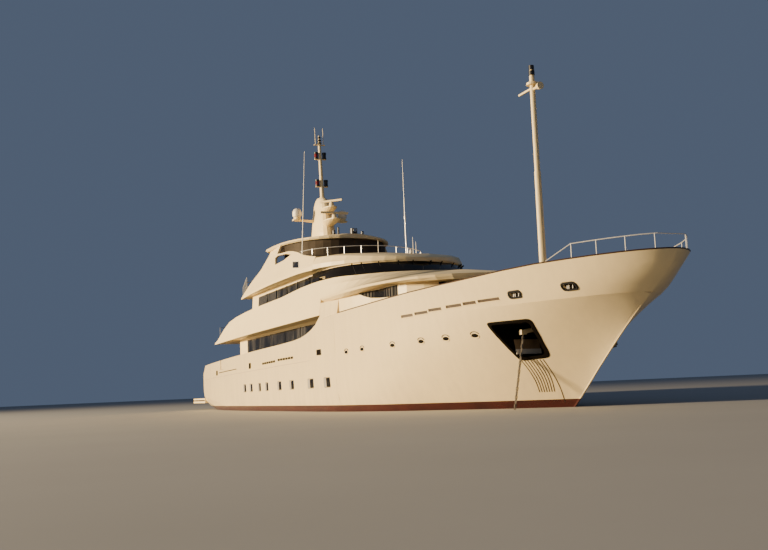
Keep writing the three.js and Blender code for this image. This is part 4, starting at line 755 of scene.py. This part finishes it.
def main_windows():
    skin = Skin("main_deckhouse")
    rows = [(x, MAIN_LOW, MAIN_HIGH) for x in steps(-11.3, 6.9, 14)]
    wall_band("main_deck_windows", rows, skin, GLASS)
    mullions("main_window_bars", [-8.3, -5.3, -2.3, 0.7, 3.7], MAIN_LOW, MAIN_HIGH, skin, 0.03, 0.045)


# Upper house: straight sides, then a raked front; half-breadths at sill and head
UPPER = {"sill": 6.78, "head": 8.0, "start": 3.2, "foot_tip": 10.6, "head_tip": 8.75, "foot": 4.3, "top": 4.2}
WHEELHOUSE_LOW, WHEELHOUSE_HIGH = 6.72, 7.9
# Shares of the way from the front's start to its tip: bars, columns of the glass, and of the strip
# at its foot
BAR_SHARES = (0.7, 0.775, 0.877, 0.956, 0.991)
FRONT_SHARES = [0.47, 0.54, 0.6, 0.66, 0.76, 0.84, 0.9, 0.945, 0.975, 0.992]
STRIP_SHARES = [0.3, 0.4] + FRONT_SHARES
# The side doors: ends and head of their recess, half-breadths of the leaf's face and of the wall
DOOR = {"aft": 4.25, "fore": 5.1, "head": 7.54, "face": 4.07, "wall": 4.28}
# Aft x, forward x, low z and high z of a door's pane; x, low z and high z of its pull
DOOR_PANE = (4.34, 5.0, 6.5, 7.46)
DOOR_PULL = (4.4, 6.2, 6.42)


def raked_point(share, z):
    """A point of the raked wheelhouse front, as x and half-breadth; the plan is a blunt oval."""
    t = min(max((z - UPPER["sill"]) / (UPPER["head"] - UPPER["sill"]), 0), 1)
    fullness = (1 - share ** 3.2) ** 0.6
    foot = UPPER["start"] + (UPPER["foot_tip"] - UPPER["start"]) * share
    head = UPPER["start"] + (UPPER["head_tip"] - UPPER["start"]) * share
    half = (UPPER["foot"] + (UPPER["top"] - UPPER["foot"]) * t) * fullness
    return foot + (head - foot) * t, half


def front_columns(low, high, out):
    """Columns round the raked front, starboard to port, standing off the wall by out."""
    columns = []
    for side, shares in ((-1, FRONT_SHARES), (1, FRONT_SHARES[::-1])):
        for share in shares:
            column = []
            for z in steps(low, high, 2):
                x, half = raked_point(share, z)
                lean = share ** 3
                column.append((x + out * lean, side * (half + out * (1 - lean * 0.6)), z))
            columns.append(column)
    return columns


def painted_reflection_strip(side):
    """A maroon strip along the foot of the glass, ahead of the side doors' swing: a painted reflection."""
    line = []
    for share in STRIP_SHARES:
        x, half = raked_point(share, WHEELHOUSE_LOW)
        line.append((x + 0.05 * share ** 3, side * (half + 0.05), WHEELHOUSE_LOW + 0.01))
    return tube_part(line, 0.03, 6)


def upper_windows():
    skin = Skin("upper_deckhouse")
    rows = [(x, UPPER_LOW, UPPER_HIGH) for x in steps(-8.3, 3.1, 10)]
    wall_band("upper_deck_windows", rows, skin, GLASS)
    low, high = WHEELHOUSE_LOW, WHEELHOUSE_HIGH
    aft, fore = DOOR["aft"], DOOR["fore"]
    bands = {
        "wheelhouse_after_windows": [(x, low, high) for x in (3.1, 3.6, 4.1, aft)],
        "wheelhouse_door_heads": [(x, DOOR["head"], high) for x in (aft, 4.7, fore)],
        "wheelhouse_side_windows": [(x, low, high) for x in (fore, 5.5, 6.0, 6.4, 6.75)],
    }
    for name, rows in bands.items():
        wall_band(name, rows, skin, DARK_GLASS_AND_SHADE)
    # Near-black sheets on the after jambs of the door recesses: painted shade
    jambs = []
    for side in SIDES:
        ys = sorted((side * (DOOR["face"] + 0.01), side * DOOR["wall"]))
        jambs.append(box_part(aft + 0.025, aft + 0.032, *ys, low, DOOR["head"] - 0.02))
    combined("wheelhouse_door_jamb_shade", jambs, DARK_GLASS_AND_SHADE)
    columns = front_columns(low, high, 0.015)
    glass = slab_part(columns, 0.02, lambda p: Vector((max(p[0] - 4, 0) * 0.6, p[1], 0.4)).normalized())
    combined("wheelhouse_windows", [glass], DARK_GLASS_AND_SHADE, smooth=True)
    bars, bar_shadows = [], []
    for side in SIDES:
        for share in BAR_SHARES:
            line = []
            for z in (low, high):
                x, half = raked_point(share, z)
                line.append((x + 0.03 * share ** 3, side * (half + 0.03), z))
            bars.append(tube_part(line, 0.012, 6))
            x, y, z = line[1]
            # A dark slanting stub at each bar's head: painted shadow of the bar on the roof's underside
            bar_shadows.append(tube_part([(x, y, z - 0.1), (x + 0.2, y * 1.03, z + 0.02)], 0.035, 6))
    combined("wheelhouse_bars", bars, LAMP_DARK, smooth=True)
    combined("wheelhouse_bar_shadows", bar_shadows, SHADE_BLACK, smooth=True)
    # Maroon strips of painted reflection along the foot of the glass
    combined("wheelhouse_painted_reflection", [painted_reflection_strip(side) for side in SIDES], RED_LENS_AND_REFLECTION, smooth=True)
    mullions("upper_window_bars", [-6.1, -3.9, -1.7, 0.5, 2.7], UPPER_LOW, UPPER_HIGH, skin, 0.025, 0.045)


def wheelhouse_door_panes():
    """A pane and a pull on each side door, which turn with it."""
    x0, x1, pane_low, pane_high = DOOR_PANE
    x, low, high = DOOR_PULL
    for word, side in (("starboard", -1), ("port", 1)):
        ys = sorted((side * (DOOR["face"] + 0.002), side * (DOOR["face"] + 0.01)))
        pane = box_part(x0, x1, *ys, pane_low, pane_high)
        combined(f"wheelhouse_door_pane_{word}", [pane], DARK_GLASS_AND_SHADE, f"wheelhouse_door_{word}")
        y = side * (DOOR["face"] + 0.015)
        pull = tube_part([(x, y, low), (x, y, high)], 0.012, 6)
        combined(f"wheelhouse_door_pull_{word}", [pull], STEEL, f"wheelhouse_door_{word}")


# Forward house: rows of x, low z and high z at its sides, then heights and half-breadths in front
FORWARD_SIDE = [
    (11.2, 5.82, 5.85), (11.6, 5.66, 5.86), (12.1, 5.53, 5.86), (12.9, 5.45, 5.86), (13.8, 5.39, 5.86),
    (14.3, 5.36, 5.86), (14.65, 5.34, 5.86),
]
FORWARD_HEIGHTS = (5.2, 5.5, 5.8)
FORWARD_HALVES = (0.8, 1.4, 1.9, 2.3, 2.6, 2.8)


def forward_house_windows():
    skin = Skin("forward_house")
    wall_band("forward_side_windows", FORWARD_SIDE, skin, GLASS)
    low, middle, high = FORWARD_HEIGHTS
    columns = []
    for y in [-half for half in reversed(FORWARD_HALVES)] + [0, *FORWARD_HALVES]:
        columns.append([(skin.front(y, z)[0].x + 0.012, y * 1.006, z) for z in FORWARD_HEIGHTS])
    glass = slab_part(columns, 0.02, lambda p: Vector((2.5, p[1], 0)).normalized())
    combined("forward_front_windows", [glass], GLASS)
    bars = []
    for y in (-1.4, 0, 1.4):
        x = skin.front(y, middle)[0].x
        bars.append(box_part(x, x + 0.05, y - 0.02, y + 0.02, low, high))
    combined("forward_window_bars", bars, LAMP_DARK)


# Corners of the small window in each sun deck wing, x and z
WING_WINDOW = [(0.65, 9.01), (2.05, 8.81), (2.58, 8.32), (1.26, 8.5)]


def sun_wing_windows():
    skin = Skin("sun_deck_wing_starboard", "sun_deck_wing_port")
    outline = rounded_outline(WING_WINDOW, 0.08)
    panes = [patch(skin, outline, side, 0.006) for side in SIDES]
    frames = [rim(skin, outline, side, 0.03) for side in SIDES]
    combined("sun_wing_panes", kept(panes), GLASS)
    combined("sun_wing_frames", kept(frames), WHITE, smooth=True)


# Aft faces of both houses as x and deck level, and the half-breadths between which glass lies
AFT_FACES = [(-13.8, MAIN_DECK), (-10.3, UPPER_DECK)]
AFT_GLASS = (2.45, 3.85)


def aft_windows():
    """Glass beside the sliding doors on the aft faces of both houses."""
    parts = []
    for aft, deck in AFT_FACES:
        for side in SIDES:
            ys = sorted(side * half for half in AFT_GLASS)
            parts.append(box_part(aft - 0.03, aft - 0.005, *ys, deck + 0.12, deck + 1.95))
    combined("aft_windows", parts, GLASS)


# Decks
def deck_part(rows, z):
    """A teak sheet: rows of (x, inner half, outer half) on both sides, or right across if inner is 0."""
    parts = []
    sides = SIDES if rows[0][1] > 0 or rows[-1][1] > 0 else (0,)
    for side in sides:
        columns = []
        for x, inner, outer in rows:
            ys = (-outer, outer) if side == 0 else (side * inner, side * outer)
            columns.append([(x, y, z) for y in ys])
        parts.append(slab_part(columns, TEAK_THICK, lambda p: (0, 0, 1)))
    return parts


# Teak sheets: the deck's level, then rows of x, inner half-breadth, outer half-breadth
TEAK_SHEETS = [
    (MAIN_DECK, [(-22.55, 0, 2.85), (-21.45, 0, 2.85)]),
    (MAIN_DECK, [(-21.35, 0, 4.55), (-19, 0, 4.78), (-16, 0, 4.95), (-14.0, 0, 5.03)]),
    (MAIN_DECK, [(-13.7, 4.34, 5.04), (-7, 4.34, 5.16), (0, 4.32, 5.18), (7.1, 4.3, 5.16)]),
    (UPPER_DECK, [(-18.2, 0, 4.72), (-15, 0, 4.92), (-12, 0, 5.02), (-10.5, 0, 5.05)]),
    (UPPER_DECK, [(-9.9, 4.36, 5.08), (-5, 4.36, 5.12), (7.1, 4.36, 5.12)]),
    (SUN_DECK, [(-11.7, 0, 4.28), (-8, 0, 4.52), (-3, 0, 4.7), (3.3, 0, 4.62)]),
    (PLATFORM, [(-28.8, 0, 4.0), (-28.2, 0, 4.5), (-23.9, 0, 4.55)]),
    (FOREDECK, [(17.35, 0, 4.15), (18.4, 0, 4.0), (19.35, 0, 3.85)]),
    (FOREDECK, [
        (20.2, 0, 3.6), (21.2, 0, 3.35), (22.4, 0, 2.95), (23.4, 0, 2.6), (24.4, 0, 2.1), (25.3, 0, 1.55),
        (26, 0, 0.95),
    ]),
    (FOREDECK, [
        (9.35, 5.0, 5.08), (11, 4.75, 5.0), (13, 4.32, 4.85), (14.4, 4.25, 4.68), (15.2, 3.95, 4.6),
        (16.2, 3.1, 4.42), (17.3, 1.2, 4.2),
    ]),
    (WALKWAY, [(7.4, 4.25, 4.75), (8.6, 3.7, 4.7), (10, 2.2, 4.45), (10.8, 0.05, 4.2)]),
    (WALKWAY, [(10.95, 0, 4.1), (11.7, 0, 3.6), (12.3, 0, 2.95), (12.75, 0, 2.3)]),
]


def decks():
    parts = []
    for level, rows in TEAK_SHEETS:
        parts += deck_part(rows, level)
    combined("teak_decks", parts, TEAK)


# The stern steps: where they start, their number, the going and rise of each, and their sides
STAIRS = {"x": -21.4, "count": 8, "going": 0.3, "rise": 0.25, "inner": 3.03, "outer": 3.97}


def stair_treads():
    parts = []
    for side in SIDES:
        for i in range(STAIRS["count"]):
            x = STAIRS["x"] - i * STAIRS["going"]
            z = MAIN_DECK - (i + 1) * STAIRS["rise"]
            ys = sorted((side * STAIRS["inner"], side * STAIRS["outer"]))
            parts.append(box_part(x - STAIRS["going"] + 0.02, x - 0.02, *ys, z, z + 0.02))
    combined("stair_treads", parts, TEAK)


# Rails across the after decks: x, half-breadth, level of their feet, height
CROSS_RAILS = [(-18.35, 4.6, UPPER_DECK - 0.3, 1.25), (-11.95, 4.2, SUN_DECK - 0.06, 1.15)]
RAIL_RADIUS = 0.022
# The top edge of the sun deck's wings, x and z
WING_TOP = [(-12.2, 8.14), (-9.9, 9.08), (-7.9, 9.66)]


def fence(points, height, bars=(1.0, 0.5)):
    """Posts and level bars along deck points; the lower bar is thinner."""
    parts = []
    for share in bars:
        thick = RAIL_RADIUS if share == 1 else RAIL_RADIUS * 0.6
        parts.append(tube_part([(x, y, z + height * share) for x, y, z in points], thick, 6))
    for x, y, z in points:
        parts.append(tube_part([(x, y, z), (x, y, z + height)], RAIL_RADIUS, 6))
    return parts


def rails():
    parts = []
    for x, half, foot, height in CROSS_RAILS:
        parts += fence([(x, y, foot) for y in steps(-half, half, 8)], height)
    for side in SIDES:
        parts += fence([(x, side * 2.93, MAIN_DECK) for x in (-22.55, -21.6)], 1.0)
        wing = [(x, side * (5.03 + 0.057 * x), between(WING_TOP, x)) for x in steps(-12.1, -10.7, 4)]
        parts += fence(wing, 0.75, bars=(1.0,))
        for z in (3.3, 3.1):
            parts.append(tube_part([(-23.95, side * 3.0, z - 2), (-22.8, side * 3.0, z)], 0.02, 6))
    combined("deck_rails", parts, DULL_STEEL, smooth=True)


# Mast details, lamps and small fittings
# Lamp pairs on the mast's crossbars: level, half distance apart
MAST_LAMPS = [(15.42, 0.32), (17.44, 0.3)]
# Parts of such a lamp: low z and high z above that level, radius
LAMP_PARTS = {"cap": (0.4, 0.52, 0.15), "base": (0.04, 0.14, 0.15), "lens": (0.14, 0.4, 0.135)}
# Rings at the mast's head: low z, radius
MAST_RINGS = [(18.62, 0.16), (18.82, 0.14), (19.02, 0.11)]
# The lamp on the foremast's head: low z, high z, radius
FOREMAST_X = 20.78
FOREMAST_LAMP = [(14.4, 14.6, 0.13), (14.64, 14.84, 0.12)]
# Search lights and a floodlight on the hardtop: x, y, low z, high z, radius
HARDTOP_LAMPS = [
    (-1.66, -1.0, 11.06, 11.44, 0.1), (-0.86, -1.0, 11.0, 11.5, 0.06), (-1.1, 0.15, 11.06, 11.5, 0.24),
    (-1.66, 1.0, 11.06, 11.44, 0.1),
]


def mast_fittings():
    dark, red, pale = [], [], []

    def pole_x(z):
        return -6.35 - 0.06 * (z - 14.62)

    for z, half in MAST_LAMPS:
        x = pole_x(z)
        for y in (-half, half):
            for part, (low, high, radius) in LAMP_PARTS.items():
                group = red if part == "lens" and y < 0 else dark
                group.append(tube_part([(x, y, z + low), (x, y, z + high)], radius, 12))
    top = pole_x(18.9)
    for z, radius in MAST_RINGS:
        dark.append(tube_part([(top, 0, z), (top, 0, z + 0.08)], radius, 12))
    for low, high, radius in FOREMAST_LAMP:
        dark.append(tube_part([(FOREMAST_X, 0, low), (FOREMAST_X, 0, high)], radius, 12))
    for x, y, low, high, radius in HARDTOP_LAMPS:
        dark.append(tube_part([(x, y, low), (x, y, high)], radius, 12))
        lens = [(x + radius * 0.6, y, high - 0.12), (x + radius + 0.03, y, high - 0.12)]
        pale.append(tube_part(lens, radius * 0.5, 10))
    combined("mast_lamps", dark, LAMP_DARK, smooth=True)
    combined("mast_red_lenses", red, RED_LENS_AND_REFLECTION, smooth=True)
    combined("mast_lenses", pale, STEEL, smooth=True)


# On the wheelhouse roof: x, y and height of the short whips, and x of the white lamp
SHORT_WHIPS = [(8.0, 0.0, 0.95), (5.9, -1.2, 0.75), (5.9, 1.2, 0.75)]
ROOF_LAMP_X = 7.7
# Wipers: y of the foot, and the share of the raked front that it stands at
WIPERS = [(-1.4, 0.9), (-0.5, 0.975), (0.5, 0.975), (1.4, 0.9)]


def roof_fittings():
    """Short whips and a white lamp on the wheelhouse roof, wipers on its windows."""
    roof = Skin("sun_deck")
    pale, dark = [], []
    for x, y, high in SHORT_WHIPS:
        z = roof.top(x, y)[0].z
        pale.append(tube_part([(x, y, z), (x, y, z + high)], 0.02, 6, 0.01))
    # The thicker joint half way up the forward whip
    pale.append(tube_part([(6.9, 0.1, 10.6), (6.9, 0.1, 10.8)], 0.05, 8))
    z = roof.top(ROOF_LAMP_X, 0)[0].z
    pale.append(tube_part([(ROOF_LAMP_X, 0, z + up) for up in (0, 0.14, 0.22)], 0.11, 12, 0.05))
    for y, share in WIPERS:
        x, _ = raked_point(share, 7.1)
        dark.append(tube_part([(x + 0.12, y, 6.86), (x - 0.25, y + 0.25, 7.5)], 0.014, 6))
    combined("roof_aerials", pale, WHITE, smooth=True)
    combined("window_wipers", dark, LAMP_DARK, smooth=True)


# Middles of the bollard pairs, mirrored to both sides, and of the deck vents; x and y
BOLLARDS = [(23.2, 2.2), (25.0, 1.25), (19.2, 3.3), (20.6, 2.9)]
DECK_VENTS = [(18.5, 1.3), (18.5, -1.3)]


def foredeck_fittings():
    """Pairs of bollards on their plates, and two deck vents."""
    bollards, pots = [], []
    for x, y in BOLLARDS:
        for side in SIDES:
            for post in (x - 0.22, x + 0.22):
                line = [(post, side * y, FOREDECK), (post, side * y, FOREDECK + 0.42)]
                bollards.append(tube_part(line, 0.09, 10, 0.11))
            inner, outer = side * y - 0.14, side * y + 0.14
            bollards.append(box_part(x - 0.4, x + 0.4, inner, outer, FOREDECK, FOREDECK + 0.05))
    for x, y in DECK_VENTS:
        pots.append(tube_part([(x, y, FOREDECK + up) for up in (0, 0.5, 0.62)], 0.22, 14))
    combined("foredeck_bollards", bollards, STEEL, smooth=True)
    combined("foredeck_vents", pots, PAINT, smooth=True)


def platform_trim():
    """Wooden strips round the swim platform, and the two bars of its ladder."""
    parts = [box_part(-29.02, -28.96, -4.0, 4.0, 0.86, 0.94)]
    parts += [box_part(-28.3, -23.9, *sorted((side * 4.69, side * 4.73)), 0.72, 0.82) for side in SIDES]
    combined("platform_trim", parts, WOOD)
    ladder = []
    for y in (-0.28, 0.28):
        ladder.append(tube_part([(-29.0, y, 1.05), (-29.04, y, 0.6)], 0.02, 6))
    combined("boarding_ladder", ladder, STEEL, smooth=True)


# Ends of the thin moulding along the side, x and z
RUBBING_ENDS = [(-23.13, 2.47), (5.32, 2.78)]


def rubbing_line():
    parts = []
    for side in SIDES:
        line = [(x, between(RUBBING_ENDS, x)) for x in steps(-23, 5.3, 20)]
        parts.append(tube_part(skin_line(line, side, 0.0), 0.013, 6))
    combined("hull_rubbing_line", parts, MOULDING, smooth=True)


# Stage, light and camera, all in model metres
FLOOR_SIZE = 3000
FLOOR_COLOUR = (0.33, 0.327, 0.317)
SKY_COLOUR = (0.34, 0.45, 0.68)
SKY_STRENGTH = 0.25
# Columns: name, place, what it points at, disk size, power, colour
LAMPS = [
    ("key", (-20, -72, 15), (2, 0, 2), 10, 190000, (1.0, 0.77, 0.46)),
    ("fill", (30, -50, 26), (0, 0, 2), 26, 1500, (1.0, 0.90, 0.78)),
]


def stage():
    bpy.ops.mesh.primitive_plane_add(size=FLOOR_SIZE, location=(0, 0, 0))
    floor = bpy.context.object
    floor.name = "floor"
    pale = surface("pale_floor", FLOOR_COLOUR, 0.8, scale=0.4, vary=0.95, grain=0.01)
    floor.data.materials.append(pale)
    world = bpy.context.scene.world or bpy.data.worlds.new("sky")
    bpy.context.scene.world = world
    world.use_nodes = True
    background = world.node_tree.nodes["Background"]
    background.inputs["Color"].default_value = (*SKY_COLOUR, 1)
    background.inputs["Strength"].default_value = SKY_STRENGTH


def lamp(name, spot, target, size, power, colour):
    data = bpy.data.lights.new(name, "AREA")
    data.shape = "DISK"
    data.size = size
    data.energy = power
    data.color = colour
    light = bpy.data.objects.new(name, data)
    light.location = spot
    light.rotation_euler = (Vector(target) - Vector(spot)).to_track_quat("-Z", "Y").to_euler()
    bpy.context.collection.objects.link(light)


def lights():
    for row in LAMPS:
        lamp(*row)


# The photo's camera: place, direction in plan, pitch and roll in degrees, focal length in mm
CAMERA = {"at": (26.83, -11.0, 0.5), "plan": (-0.915, 0.404), "pitch": 7.124, "roll": 2.462, "lens": 43.125}


def camera():
    pitch, roll = math.radians(CAMERA["pitch"]), math.radians(CAMERA["roll"])
    plan = Vector((*CAMERA["plan"], 0)).normalized()
    ahead = plan * math.cos(pitch) + Vector((0, 0, math.sin(pitch)))
    level = ahead.cross(Vector((0, 0, 1))).normalized()
    above = level.cross(ahead)
    right = level * math.cos(roll) - above * math.sin(roll)
    up = right.cross(ahead)
    data = bpy.data.cameras.new("photo_camera")
    data.sensor_width = 36
    data.lens = CAMERA["lens"]
    data.clip_end = 2000
    view = bpy.data.objects.new("photo_camera", data)
    view.matrix_world = Matrix((
        (right.x, up.x, -ahead.x, CAMERA["at"][0]),
        (right.y, up.y, -ahead.y, CAMERA["at"][1]),
        (right.z, up.z, -ahead.z, CAMERA["at"][2]),
        (0, 0, 0, 1),
    ))
    bpy.context.collection.objects.link(view)
    bpy.context.scene.camera = view


dress_frame()
hull_openings()
anchor_recess()
main_windows()
upper_windows()
forward_house_windows()
sun_wing_windows()
aft_windows()
decks()
stair_treads()
rails()
wheelhouse_door_panes()
mast_fittings()
roof_fittings()
foredeck_fittings()
platform_trim()
rubbing_line()
stage()
lights()
camera()
